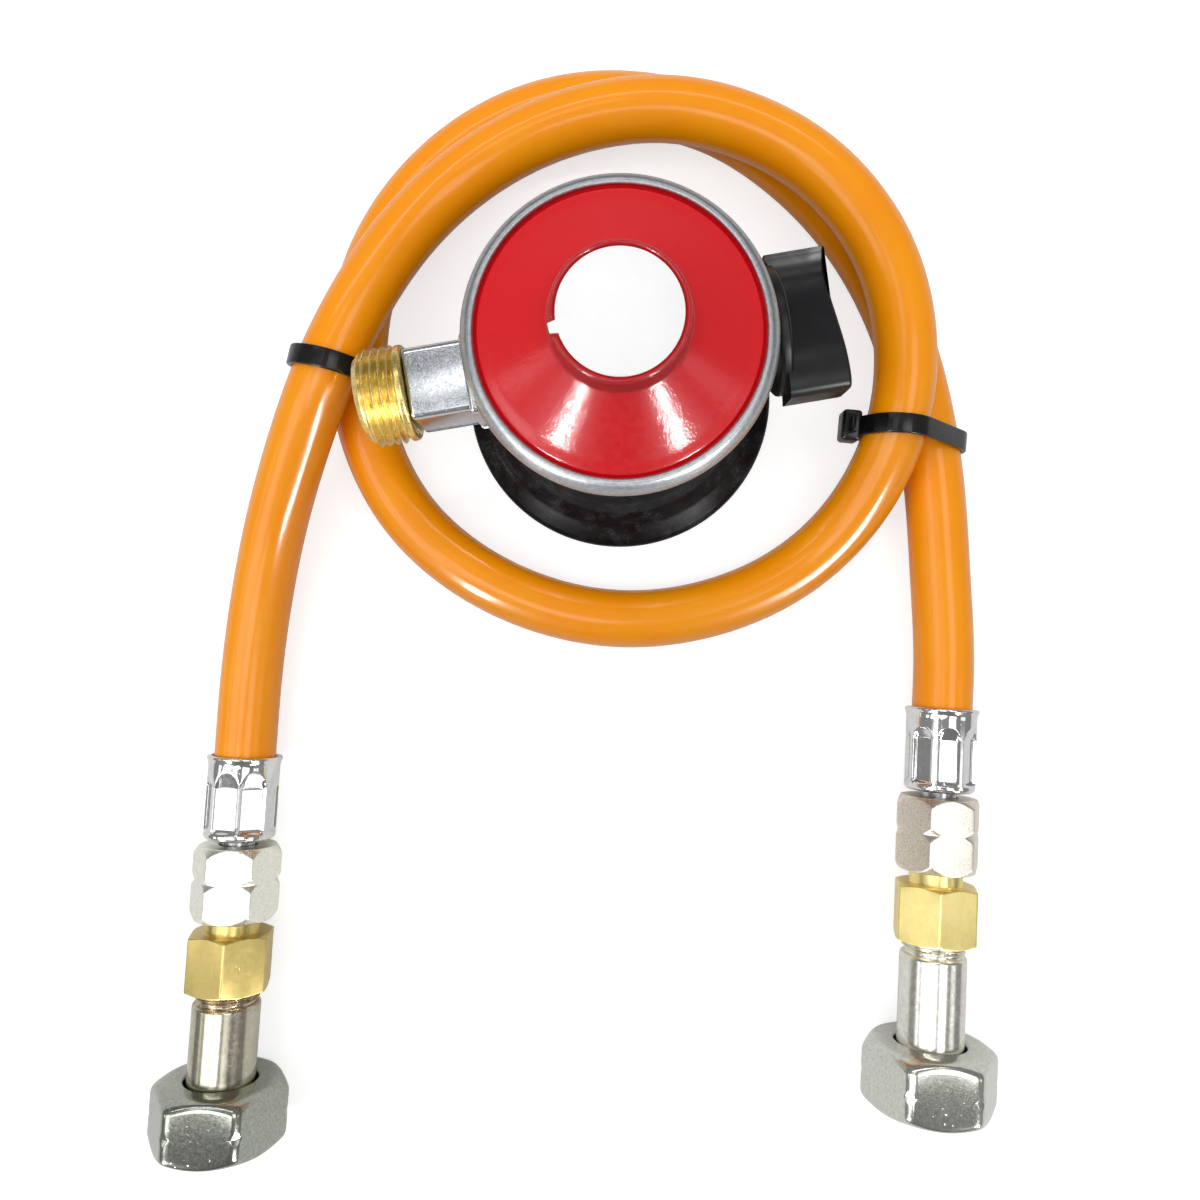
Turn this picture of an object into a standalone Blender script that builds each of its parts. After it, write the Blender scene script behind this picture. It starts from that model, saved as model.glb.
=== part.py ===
"""Clip-on LPG cylinder regulator with its hose kit, as separate closed solids.

Frame: metres, +Z up, the table at z = 0. The regulator stands on its skirt with
its outlet pointing along -X and its tap knob along +X. The hose lies round it in
one loose turn, held by two cable ties, and ends in two union nuts.
Sizes are written in millimetres, and MM turns them into metres where objects are made.
"""

import math
from dataclasses import dataclass

import bmesh
import bpy
from mathutils import Matrix, Vector

MM = 0.001
MERGE = 1e-6
HEX_HALF = math.radians(30)

# ---------------------------------------------------------------- driving dimensions
AXIS_X = 4.5            # the regulator's upright axis, so that its box is centred on x = 0
PORT_Z = 42.2           # height of the outlet and of the tap spindle
OUTLET_END = 58.5       # outlet face from the regulator's axis
KNOB_END = 48.5         # outer face of the knob's grip from the regulator's axis
SOCKET_R = 13.8         # socket for the cylinder valve
SKIRT_R = 40.2          # foot of the locking skirt
SKIRT_BORE_R = 20.6
BALL_R = 3.7
BALL_Z = 9.0
BALL_AT = 16.6          # centre of a locking ball from the axis
BALL_COUNT = 3
BALL_TURN = 0.5
NECK = 16.3             # square section of the outlet neck
SPINDLE_R = 4.0
PIN_BORE_R = 2.4
GAS_BORE_R = 3.2
GAP = 0.3               # running clearance between neighbouring pieces

# The body's outer wall below its rim, as (radius, height).
BODY_WALL = [(23.5, 33.0), (24.0, 50.0), (26.5, 53.2), (31.0, 55.0)]

HOSE_R = 7.5
HOSE_CRIMPED_R = 6.9
HOSE_BORE_R = 4.55      # bore where the barbed tail is pushed in
HOSE_GAP = 0.4
TAIL_DEPTH = 19.2       # how far the hose goes into a ferrule
SMALL_HEX = 19.0
UNION_HEX = 30.0
UNION_LENGTH = 16.3
TIE_WIDTH = 4.8
TIE_INNER, TIE_OUTER = 0.3, 1.45

# The hose's centre line, chosen by hand: up the left leg, over the top of the loop,
# down to the table, under the left leg, round again underneath, down the right leg.
ROUTE = (
    (-107.05, -77.4, 9.5), (-105.1, -68.5, 9.0), (-102, -56, 9), (-98, -43.5, 9.5),
    (-93.2, -31, 11), (-87.5, -19, 13.5), (-81, -8, 17), (-73.5, 3, 21.4),
    (-65, 15, 25), (-55, 29, 24.3), (-44, 42.5, 21.7), (-31.5, 53, 20),
    (-18, 60, 20), (-3.5, 64, 21.3), (10.5, 65, 22.6), (24.5, 64, 23.2),
    (37.5, 60, 23.3), (50, 53, 23.3), (61, 43.5, 23.3), (69, 31.5, 23.3),
    (74, 19, 23.3), (75.7, 5, 23.3), (74.6, -8.5, 23), (71.3, -21, 21.5),
    (66, -32, 17.5), (58.5, -42, 13), (48.8, -50, 9.5), (37, -56, 7.7),
    (23, -59.5, 7.6), (9, -60.5, 7.6), (-5.5, -59, 7.6), (-20.5, -54, 7.6),
    (-34.5, -46, 7.6), (-46.5, -35.5, 7.6), (-56, -22.5, 7.6), (-61.2, -7.5, 8.1),
    (-62.8, 7.5, 9.1), (-61.2, 23, 9.1), (-57, 37, 8.1), (-50, 49, 7.6),
    (-40, 59.5, 7.6), (-29, 67.3, 7.6), (-16.5, 73, 7.6), (-2.5, 76, 7.6),
    (13, 75.7, 7.6), (28, 71.8, 7.6), (42.5, 64.5, 7.6), (55, 53, 7.6),
    (66, 39, 7.6), (74, 23, 7.6), (79, 6.5, 7.7), (81, -10, 8.5),
    (81.5, -25.5, 9.1), (80.8, -41.5, 9.0), (79.5, -54.5, 8.7), (78, -67.5, 8.7),
    (76.6, -80.6, 9.2), (75.1, -87.4, 9.4), (73.3, -95.2, 9.5),
)


@dataclass(frozen=True)
class HoseEnd:
    """One fitted end. Turns are angles of one corner, in degrees from straight up."""

    tag: str
    start: tuple
    heading: float
    climb: float
    ferrule_turn: float
    swivel_turn: float
    adapter_turn: float
    union_turn: float
    union_at: float

    def frame(self):
        """Return the end's frame: X sideways, Y up, Z out along the fitting."""
        heading, climb = math.radians(self.heading), math.radians(self.climb)
        level = Vector((math.cos(heading), math.sin(heading), 0))
        out = level * math.cos(climb) + Vector((0, 0, math.sin(climb)))
        side = Vector((0, 0, 1)).cross(out).normalized()
        axes = Matrix((side, out.cross(side), out)).transposed().to_4x4()
        return Matrix.Translation(Vector(self.start)) @ axes

    def along(self, distance):
        """Return the point this far out along the fitting's axis."""
        return self.frame() @ Vector((0, 0, distance))


ENDS = (
    HoseEnd("a", ROUTE[0], -102.3, 3.9, -7.0, 40.0, 12.4, 35.5, 81.0),
    HoseEnd("b", ROUTE[-1], -103.05, 4.35, -5.0, -26.3, -11.3, 27.0, 83.8),
)


# ---------------------------------------------------------------- scene and materials
def clear_scene():
    """Remove every object and make the two collections."""
    for old in list(bpy.data.objects):
        bpy.data.objects.remove(old)
    for name in ("regulator_hose_kit", "cutters"):
        bpy.context.scene.collection.children.link(bpy.data.collections.new(name))


def material(name, colour, metallic, roughness):
    """Make one plain material."""
    made = bpy.data.materials.new(name)
    made.use_nodes = True
    shader = made.node_tree.nodes["Principled BSDF"]
    shader.inputs["Base Color"].default_value = (*colour, 1.0)
    shader.inputs["Metallic"].default_value = metallic
    shader.inputs["Roughness"].default_value = roughness
    return made


ZINC = material("zinc", (0.55, 0.57, 0.60), 1.0, 0.35)
PLATED = material("plated_steel", (0.62, 0.63, 0.63), 1.0, 0.25)
BRASS = material("brass", (0.70, 0.50, 0.18), 1.0, 0.3)
STEEL = material("steel", (0.45, 0.45, 0.47), 1.0, 0.3)
RED = material("red_enamel", (0.62, 0.02, 0.03), 0.0, 0.25)
WHITE = material("white_label", (0.85, 0.85, 0.85), 0.0, 0.5)
BLACK = material("black_plastic", (0.015, 0.015, 0.017), 0.0, 0.35)
RUBBER = material("black_rubber", (0.02, 0.02, 0.02), 0.0, 0.8)
ORANGE = material("orange_hose", (0.95, 0.28, 0.01), 0.0, 0.3)


# ---------------------------------------------------------------- shape helpers
def placed(name, mesh, finish, place=None):
    """Link an object with this mesh. A place in millimetres sets its origin and axes.

    An object without a finish is a cutter, hidden and drawn as wire.
    """
    made = bpy.data.objects.new(name, mesh)
    group = "regulator_hose_kit" if finish else "cutters"
    bpy.data.collections[group].objects.link(made)
    if place is not None:
        matrix = place.copy()
        matrix.translation = place.translation * MM
        made.matrix_world = matrix
    if finish:
        mesh.materials.append(finish)
    else:
        made.hide_render = True
        made.display_type = "WIRE"
    return made


def turned(name, profile, sides, finish, place=None):
    """Turn (radius, height) points about local Z with a Screw modifier.

    A profile that starts and ends on the axis is a solid of revolution. Any other
    is closed into a ring.
    """
    pairs = list(zip(profile, profile[1:] + profile[:1]))
    if sum(a[0] * b[1] - b[0] * a[1] for a, b in pairs) > 0:
        profile = profile[::-1]
    count = len(profile)
    edges = [(k, k + 1) for k in range(count - 1)]
    if profile[0][0] > 0:
        edges.append((count - 1, 0))
    mesh = bpy.data.meshes.new(name)
    mesh.from_pydata([(r * MM, 0, h * MM) for r, h in profile], edges, [])
    made = placed(name, mesh, finish, place)
    screw = made.modifiers.new("turn", "SCREW")
    screw.steps = screw.render_steps = sides
    screw.use_merge_vertices = True
    screw.merge_threshold = MERGE
    screw.use_smooth_shade = True
    return made


def rod(start, end, radius, sides=24):
    """Make a cylinder tool between two points."""
    out = end - start
    work = bmesh.new()
    bmesh.ops.create_cone(work, cap_ends=True, segments=sides, radius1=radius * MM,
                          radius2=radius * MM, depth=out.length * MM)
    mesh = bpy.data.meshes.new("rod")
    work.to_mesh(mesh)
    work.free()
    place = Matrix.Translation((start + end) / 2) @ out.to_track_quat("Z", "Y").to_matrix().to_4x4()
    return placed("rod", mesh, None, place)


def block(name, size, place, edge, finish=None):
    """Make a box with its edges taken off. Without a finish it is a tool."""
    work = bmesh.new()
    bmesh.ops.create_cube(work, size=1.0)
    bmesh.ops.scale(work, vec=Vector(size) * MM, verts=work.verts)
    mesh = bpy.data.meshes.new(name)
    work.to_mesh(mesh)
    work.free()
    made = placed(name, mesh, finish, place)
    bevel = made.modifiers.new("edges", "BEVEL")
    bevel.width = edge * MM
    bevel.segments = 1
    return made


def combine(target, tool, operation, solver="EXACT"):
    """Join a tool to a solid, or cut it out, with a Boolean modifier."""
    step = target.modifiers.new(tool.name, "BOOLEAN")
    step.operation = operation
    step.solver = solver
    step.object = tool


def ring(radius, height, angles, centre=(0.0, 0.0)):
    """Return a round ring of points, at angles from local Y towards local X."""
    return [Vector((centre[0] + radius * math.sin(a), centre[1] + radius * math.cos(a), height)) for a in angles]


def loft(name, rings, finish, place=None, capped=False):
    """Skin unlike sections with equal point counts into one closed solid.

    The last ring joins back to the first, or both are capped.
    """
    count = len(rings[0])
    pairs = list(zip(range(len(rings) - 1), range(1, len(rings))))
    faces = []
    if capped:
        faces += [list(range(count)), [(len(rings) - 1) * count + k for k in range(count)]]
    else:
        pairs.append((len(rings) - 1, 0))
    for low, high in pairs:
        for k in range(count):
            n = (k + 1) % count
            faces.append([low * count + k, low * count + n, high * count + n, high * count + k])
    mesh = bpy.data.meshes.new(name)
    mesh.from_pydata([point * MM for one in rings for point in one], [], faces)
    work = bmesh.new()
    work.from_mesh(mesh)
    bmesh.ops.recalc_face_normals(work, faces=work.faces)
    work.to_mesh(mesh)
    work.free()
    return placed(name, mesh, finish, place)


def hexagon_ring(across, turn, steps=(0, 6, 30, 54)):
    """Return the angles and radii of points round a hexagon, closer at its corners."""
    angles = [math.radians(turn + 60 * side + step) for side in range(6) for step in steps]
    radii = [across / 2 / math.cos(HEX_HALF - math.radians(min(s, 60 - s))) for _ in range(6) for s in steps]
    return angles, radii


def hexagon_rows(across, turn, limits):
    """Return hexagon rings at (height, greatest radius), so that a low limit rounds the corners."""
    angles, radii = hexagon_ring(across, turn)
    return [[Vector((min(limit, r) * math.sin(a), min(limit, r) * math.cos(a), height))
             for a, r in zip(angles, radii)] for height, limit in limits]


def nut(name, across, start, length, turn, chamfer_r, notch_r, bore, finish, place):
    """Make a hexagon nut: rounded corners at its ends, a notch round its middle, and a bore.

    The bore is (radius, height) points from the far end back to the near end.
    """
    corner = across / 2 / math.cos(HEX_HALF)
    slope = (corner - chamfer_r) * 0.55
    half = (corner - notch_r) * 1.25
    middle = start + length / 2
    end = start + length
    limits = ((start, chamfer_r), (start + slope, corner), (middle - half, corner), (middle, notch_r),
              (middle + half, corner), (end - slope, corner), (end, chamfer_r))
    angles, _ = hexagon_ring(across, turn)
    rows = hexagon_rows(across, turn, limits) + [ring(r, h, angles) for r, h in bore]
    return loft(name, rows, finish, place)


def even_angles(count):
    """Return this many angles round the circle."""
    return [math.tau * k / count for k in range(count)]


def upright(height=0.0):
    """Return the frame on the regulator's upright axis."""
    return Matrix.Translation(Vector((AXIS_X, 0, height)))


def across_port(direction=1):
    """Return the frame on the port's axis whose Z is world X, or -X."""
    turn = Matrix.Rotation(direction * math.pi / 2, 4, "Y")
    return upright(PORT_Z) @ turn


def port_point(x, height=PORT_Z):
    """Return a point on the port's axis, x from the regulator's axis."""
    return Vector((AXIS_X + x, 0, height))


# ---------------------------------------------------------------- regulator
def body_casting():
    """The zinc body: round bowl with a crimped rim, and the boss that the tap's spindle runs in."""
    body = turned("body_casting", [(0, 31.6), (20.0, 31.6)] + BODY_WALL + [
        (32.6, 56.8), (33.0, 58.8), (33.0, 60.8), (32.3, 62.6), (31.2, 63.7), (30.3, 64.0), (29.8, 63.7),
        (29.8, 63.0), (31.3, 62.9), (31.3, 60.2), (27.0, 60.2), (26.0, 56.5), (22.0, 54.0), (0, 54.0)],
        36, ZINC, upright())
    combine(body, rod(port_point(0, 31.0), port_point(0), PIN_BORE_R, 16), "DIFFERENCE")
    combine(body, rod(port_point(18.0), port_point(33.0), 9.5), "UNION")
    combine(body, rod(port_point(-4.0), port_point(-30.0), GAS_BORE_R, 16), "DIFFERENCE")
    combine(body, rod(port_point(-5.5), port_point(35.0), SPINDLE_R + GAP), "DIFFERENCE")


def outlet_neck():
    """The square neck with its collar, butted on the round body, bored for the brass outlet."""
    neck = outlet_neck_bar("outlet_neck", NECK, 30.2, ZINC)
    combine(neck, outlet_neck_bar("collar", NECK + 2.1, 17.2, None), "UNION")
    wall = [(r + GAP, h) for r, h in BODY_WALL]
    combine(neck, turned("wall", [(0, 30.0), (23.8, 30.0)] + wall + [(0, 55.0)], 36, None, upright()), "DIFFERENCE")
    combine(neck, rod(port_point(-38.0), port_point(-50.0), 7.0), "DIFFERENCE")
    combine(neck, rod(port_point(-20.0), port_point(-39.0), GAS_BORE_R, 16), "DIFFERENCE")


def outlet_neck_bar(name, section, length, finish):
    """Return a square bar with its edges taken off, ending at the same inner point as the neck."""
    return block(name, (length, section, section), Matrix.Translation(port_point(-17.0 - length / 2)), 1.0, finish)


def inlet_hub():
    """The round hub under the body: the socket for the cylinder valve, with its ball pockets."""
    hub = turned("inlet_hub", [
        (0, 17.0), (SOCKET_R, 17.0), (SOCKET_R, 5.0), (14.8, 4.0), (19.2, 4.0), (20.0, 4.8), (20.0, 31.3),
        (0, 31.3)], 36, ZINC, upright())
    for turn in even_angles(BALL_COUNT):
        way = Vector((math.cos(turn + BALL_TURN), math.sin(turn + BALL_TURN), 0))
        foot = port_point(0, BALL_Z)
        combine(hub, rod(foot + way * 12.0, foot + way * 21.5, BALL_R + 0.25, 16), "DIFFERENCE")
    combine(hub, rod(port_point(0, 15.0), port_point(0, 33.0), PIN_BORE_R, 16), "DIFFERENCE")


def cover():
    """The red pressed cover under the crimped rim, its gasket, and the disc on its boss."""
    turned("cap_cover", [
        (0, 76.2), (12.7, 76.2), (12.9, 76.9), (13.4, 76.9), (13.8, 76.2), (13.9, 73.6), (14.3, 72.6),
        (15.2, 71.6), (25.2, 65.2), (26.4, 65.4), (27.6, 65.3), (28.8, 64.5), (29.3, 63.4), (29.5, 62.6),
        (30.9, 62.6), (30.9, 61.5), (28.2, 61.5), (28.0, 63.2), (27.3, 64.2), (26.4, 64.35), (24.9, 64.1),
        (14.2, 71.2), (12.9, 73.0), (12.8, 74.8), (12.2, 75.2), (0, 75.2)], 32, RED, upright())
    turned("cover_gasket", [(27.4, 60.5), (30.9, 60.5), (30.9, 61.2), (27.4, 61.2)], 24, RUBBER, upright())
    turned("label_disc", [(0, 76.5), (12.3, 76.5), (12.3, 76.8), (0, 76.8)], 32, WHITE, upright())


def outlet_stub():
    """The brass outlet with its male thread, W21.8 x 1/14 left hand, as rings."""
    crest, root, pitch, threads = 10.9, 9.75, 1.814, 5
    profile = [(6.7, 38.4), (6.7, 47.5), (10.0, 47.5), (10.0, 48.1)]
    for k in range(threads):
        middle = 49.2 + pitch * k
        profile += [(root, middle - 0.8), (crest, middle - 0.2), (crest, middle + 0.2)]
    profile += [(root, 57.35), (10.2, 57.8), (9.6, OUTLET_END), (6.2, OUTLET_END), (4.0, 56.0), (4.0, 38.4)]
    turned("outlet_stub", profile, 24, BRASS, across_port(-1))


def locking_skirt():
    """The black sliding ring whose flare is the foot that the regulator stands on."""
    turned("locking_skirt", [
        (SKIRT_BORE_R, 25.0), (SKIRT_BORE_R, 9.0), (21.5, 6.8), (25.5, 6.0), (30.0, 4.2), (36.8, 0.0),
        (SKIRT_R, 0.0), (SKIRT_R, 1.3), (38.6, 2.7), (35.2, 5.2), (32.0, 9.0), (30.0, 13.5), (29.1, 18.0),
        (28.7, 22.6), (28.2, 24.6), (27.4, 25.0)], 36, BLACK, upright())


def inlet():
    """The socket's seal, the pin that opens the cylinder valve, and the locking balls."""
    turned("inlet_seal", [(4.5, 13.8), (9.0, 13.8), (9.0, 16.7), (4.5, 16.7)], 24, RUBBER, upright())
    turned("actuator_pin", [(0, 11.0), (1.5, 11.0), (2.0, 11.6), (2.0, 41.2), (1.7, 41.45), (0, 41.45)],
           12, BRASS, upright())
    for number, turn in enumerate(even_angles(BALL_COUNT), 1):
        name = f"locking_ball_{number}"
        work = bmesh.new()
        bmesh.ops.create_uvsphere(work, u_segments=12, v_segments=8, radius=BALL_R * MM)
        mesh = bpy.data.meshes.new(name)
        work.to_mesh(mesh)
        work.free()
        way = Vector((math.cos(turn + BALL_TURN), math.sin(turn + BALL_TURN), 0))
        placed(name, mesh, STEEL, Matrix.Translation(port_point(0, BALL_Z) + way * BALL_AT))


def knob():
    """The tap knob: a round plate with an S-shaped grip standing out of it.

    The grip's section is the same after half a turn: a raised lobe on one side of
    each face and a finger hollow with a lip on the other.
    """
    plate = turned("knob", [(0, 33.4), (13.6, 33.4), (14.3, 34.0), (14.3, 35.9), (13.9, 36.3), (0, 36.3)],
                   32, BLACK, across_port())
    face = ((-16.6, 5.6), (-16.2, 7.5), (-14.6, 8.5), (-11.5, 8.7), (-6.9, 7.9), (-0.7, 5.3), (5.4, 2.5),
            (8.8, 1.4), (11.6, 1.1), (13.6, 1.8), (15.4, 3.0), (16.4, 2.9))
    section = face + tuple((-y, -z) for y, z in face)
    grip_start, grip_length = 35.2, KNOB_END - 35.2
    flat = bpy.data.curves.new("grip", "CURVE")
    flat.dimensions = "2D"
    flat.fill_mode = "BOTH"
    flat.extrude = grip_length / 2 * MM
    spline = flat.splines.new("POLY")
    spline.points.add(len(section) - 1)
    spline.use_cyclic_u = True
    for slot, (y, z) in zip(spline.points, section):
        slot.co = (y * MM, z * MM, 0, 1)
    outwards = Matrix(((0, 0, 1), (1, 0, 0), (0, 1, 0))).to_4x4()
    place = Matrix.Translation(port_point(grip_start + grip_length / 2)) @ outwards
    grip = placed("grip", welded_mesh(flat), None, place)
    bevel = grip.modifiers.new("edges", "BEVEL")
    bevel.width = 0.6 * MM
    bevel.segments = 1
    bevel.limit_method = "ANGLE"
    combine(plate, grip, "UNION", "MANIFOLD")
    combine(plate, rod(port_point(32.0), port_point(43.0), SPINDLE_R + GAP, 20), "DIFFERENCE", "MANIFOLD")


def spindle():
    """The knob's spindle, cranked at the pin, and the O-ring that seals it."""
    angles = even_angles(20)
    crank = (0.0, 1.5)
    seal_r = 3.1
    steps = ((SPINDLE_R, -5.2), (SPINDLE_R, -2.6), (1.9, -2.6, crank), (1.9, 2.6, crank), (SPINDLE_R, 2.6),
             (SPINDLE_R, 23.6), (seal_r, 23.6), (seal_r, 25.4), (SPINDLE_R, 25.4), (SPINDLE_R, 42.4))
    frame = Matrix(((0, 0, 1), (1, 0, 0), (0, 1, 0))).to_4x4()
    rings = [ring(step[0], step[1], angles, *step[2:]) for step in steps]
    loft("knob_spindle", rings, STEEL, upright(PORT_Z) @ frame, capped=True)
    section = [(3.7 + 0.45 * math.cos(a), 24.5 + 0.45 * math.sin(a)) for a in even_angles(6)]
    turned("spindle_oring", section, 20, RUBBER, across_port())


# ---------------------------------------------------------------- hose
def spaced(line, step):
    """Return points evenly spaced along a line, about this far apart."""
    runs = [(b - a).length for a, b in zip(line, line[1:])]
    total = sum(runs)
    count = round(total / step)
    found, passed, k = [line[0].copy()], 0.0, 0
    for n in range(1, count):
        want = total * n / count
        while passed + runs[k] < want:
            passed += runs[k]
            k += 1
        found.append(line[k].lerp(line[k + 1], (want - passed) / runs[k]))
    return found + [line[-1].copy()]


def smooth_route(step):
    """Return points on one smooth curve through the route, this far apart."""
    hand = [Vector(p) for p in ROUTE]
    hand = [2 * hand[0] - hand[1]] + hand + [2 * hand[-1] - hand[-2]]
    dense = []
    for a, b, c, d in zip(hand, hand[1:], hand[2:], hand[3:]):
        for k in range(10):
            u = k / 10
            dense.append(0.5 * (2 * b + (c - a) * u + (2 * a - 5 * b + 4 * c - d) * u * u
                                + (3 * b - a - 3 * c + d) * u ** 3))
    dense.append(hand[-2])
    line = spaced(dense, 4.0)
    for _ in range(8):
        inner = [(a + 2 * b + c) / 4 for a, b, c in zip(line, line[1:], line[2:])]
        line = [line[0]] + inner + [line[-1]]
    return spaced(line, step)


def welded_mesh(curve):
    """Turn a curve into a mesh with its caps welded on, and drop the curve."""
    draft = bpy.data.objects.new("draft", curve)
    bpy.context.scene.collection.objects.link(draft)
    ready = draft.evaluated_get(bpy.context.evaluated_depsgraph_get())
    mesh = bpy.data.meshes.new_from_object(ready)
    bpy.data.objects.remove(draft)
    work = bmesh.new()
    work.from_mesh(mesh)
    bmesh.ops.remove_doubles(work, verts=work.verts, dist=MERGE)
    bmesh.ops.recalc_face_normals(work, faces=work.faces)
    work.to_mesh(mesh)
    work.free()
    mesh.materials.clear()
    return mesh


def hose():
    """The hose: one tube on the route, drawn in under the ferrules, its ends bored for the tails."""
    first, last = ENDS
    drawn_in = HOSE_CRIMPED_R / HOSE_R
    line = [(first.along(TAIL_DEPTH), drawn_in), (first.along(4.9), drawn_in), (first.along(1.2), 1.0)]
    line += [(point, 1.0) for point in smooth_route(11.9)[1:-1]]
    line += [(last.along(1.2), 1.0), (last.along(4.9), drawn_in), (last.along(TAIL_DEPTH), drawn_in)]
    curve = bpy.data.curves.new("hose_tube", "CURVE")
    curve.dimensions = "3D"
    curve.bevel_depth = HOSE_R * MM
    curve.bevel_resolution = 4
    curve.use_fill_caps = True
    spline = curve.splines.new("POLY")
    spline.points.add(len(line) - 1)
    for slot, (point, factor) in zip(spline.points, line):
        slot.co = (*(point * MM), 1.0)
        slot.radius = factor
    tube = placed("hose_tube", welded_mesh(curve), ORANGE)
    for end in ENDS:
        combine(tube, rod(end.along(2.4), end.along(21.0), HOSE_BORE_R, 16), "DIFFERENCE")
    print_gap([point for point, _ in line])


def print_gap(line):
    """Print the hose's length and the least gap between two of its passes."""
    fine = spaced(line, 2.0)
    step = (fine[1] - fine[0]).length
    apart = round(4 * 2 * HOSE_R / step)
    least = min((p - q).length for i, p in enumerate(fine) for q in fine[i + apart:])
    print(f"hose {step * (len(fine) - 1):.0f} mm long, least gap to itself {least - 2 * HOSE_R:.2f} mm")
    if least - 2 * HOSE_R < HOSE_GAP:
        print("the hose comes nearer to itself than it should")


def cable_tie(name, centre, heading, head_turn):
    """Wrap a tie round both passes of the hose.

    centre is a plan point in the tie's loop, heading the loop's direction in plan,
    and head_turn where its head sits, in degrees round the loop from the heading.
    """
    turn = math.radians(heading)
    across = Vector((math.cos(turn), math.sin(turn), 0))
    normal = Vector((-math.sin(turn), math.cos(turn), 0))
    middle = Vector((*centre, 0))
    line = smooth_route(1.0)
    held = []
    for a, b in zip(line, line[1:]):
        if abs((a - middle).dot(normal)) > 12 or abs((a - middle).dot(across)) > 30:
            continue
        out = (b - a).normalized()
        side = Vector((0, 0, 1)).cross(out).normalized()
        up = out.cross(side)
        for angle in even_angles(36):
            skin = a + HOSE_R * (math.cos(angle) * side + math.sin(angle) * up)
            if abs((skin - middle).dot(normal)) < TIE_WIDTH / 2 + 0.2:
                held.append(((skin - middle).dot(across), skin.z))
    outside, inside = [], []
    for angle in even_angles(56):
        u, v = math.cos(angle), math.sin(angle)
        s, t = max(held, key=lambda point: point[0] * u + point[1] * v)
        outside.append((s + TIE_OUTER * u, t + TIE_OUTER * v))
        inside.append((s + TIE_INNER * u, t + TIE_INNER * v))
    half = TIE_WIDTH / 2
    rows = [[middle + across * s + normal * way + Vector((0, 0, t)) for s, t in outline]
            for outline, way in ((outside, -half), (outside, half), (inside, half), (inside, -half))]
    strap = loft(name, rows, BLACK)
    angle = math.radians(head_turn)
    out = across * math.cos(angle) + Vector((0, 0, math.sin(angle)))
    s, t = outside[round(head_turn / 360 * len(outside)) % len(outside)]
    foot = middle + across * s + Vector((0, 0, t)) + out * 1.9
    axes = Matrix((out, normal, normal.cross(out))).transposed().to_4x4()
    combine(strap, block("head", (4.6, 7.6, 6.4), Matrix.Translation(foot) @ axes, 0.7), "UNION")


# ---------------------------------------------------------------- fittings
def ferrule(end):
    """The crimped ferrule: a flared rim, then eight flats pressed into its wall."""
    half = math.radians(19.1)
    flat, wall = 7.75, 8.6
    corner = flat / math.cos(half)
    middles = [math.radians(end.ferrule_turn) + a for a in even_angles(8)]
    angles = [m + step for m in middles for step in (-half, 0.0, half, math.pi / 8)]

    def pressed(height, middle, edge):
        radii = [edge, middle, edge, wall] * len(middles)
        return [Vector((r * math.sin(a), r * math.cos(a), height)) for a, r in zip(angles, radii)]

    outside = [(9.0, 0.0), (9.25, 0.5), (8.75, 1.6), (wall, 2.6), (wall, 5.0)]
    shoulder = [(wall, 19.4), (8.45, 20.6), (7.8, 21.2), (4.7, 21.2), (4.7, 19.6), (7.15, 19.6), (7.15, 4.6),
                (7.85, 1.8), (8.2, 0.0)]
    rows = [ring(r, h, angles) for r, h in outside]
    rows += [pressed(6.4, flat, wall), pressed(7.8, flat, corner), pressed(18.6, flat, corner)]
    rows += [ring(r, h, angles) for r, h in shoulder]
    loft(f"ferrule_{end.tag}", rows, PLATED, end.frame())


def hose_tail(end):
    """The barbed tail in the hose, with the coned head that the swivel nut pulls on."""
    barbs = [(3.6, 3.0)]
    for k in range(3):
        barbs += [(4.3, 6.4 + 4.2 * k), (3.8, 6.5 + 4.2 * k)]
    head = [(4.2, 18.9), (4.2, 26.4), (6.4, 26.4), (6.4, 29.4), (5.6, 30.6), (3.0, 33.6), (2.6, 33.6), (2.6, 3.0)]
    turned(f"hose_tail_{end.tag}", barbs + head, 16, STEEL, end.frame())


def adapter(end):
    """The brass hexagon adapter: a male stub for the swivel nut and a female thread."""
    angles, _ = hexagon_ring(SMALL_HEX, end.adapter_turn)
    corner = SMALL_HEX / 2 / math.cos(HEX_HALF)
    stub = [(5.0, 32.6), (6.2, 32.6), (6.6, 33.2), (6.6, 44.6)]
    bore = [(8.4, 58.9), (8.05, 58.4), (8.05, 48.0), (3.0, 46.5), (3.0, 35.4)]
    rows = [ring(r, h, angles) for r, h in stub]
    rows += hexagon_rows(SMALL_HEX, end.adapter_turn, ((44.6, 9.9), (45.3, corner), (58.2, corner), (58.9, 9.9)))
    rows += [ring(r, h, angles) for r, h in bore]
    loft(f"adapter_{end.tag}", rows, BRASS, end.frame())


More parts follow.
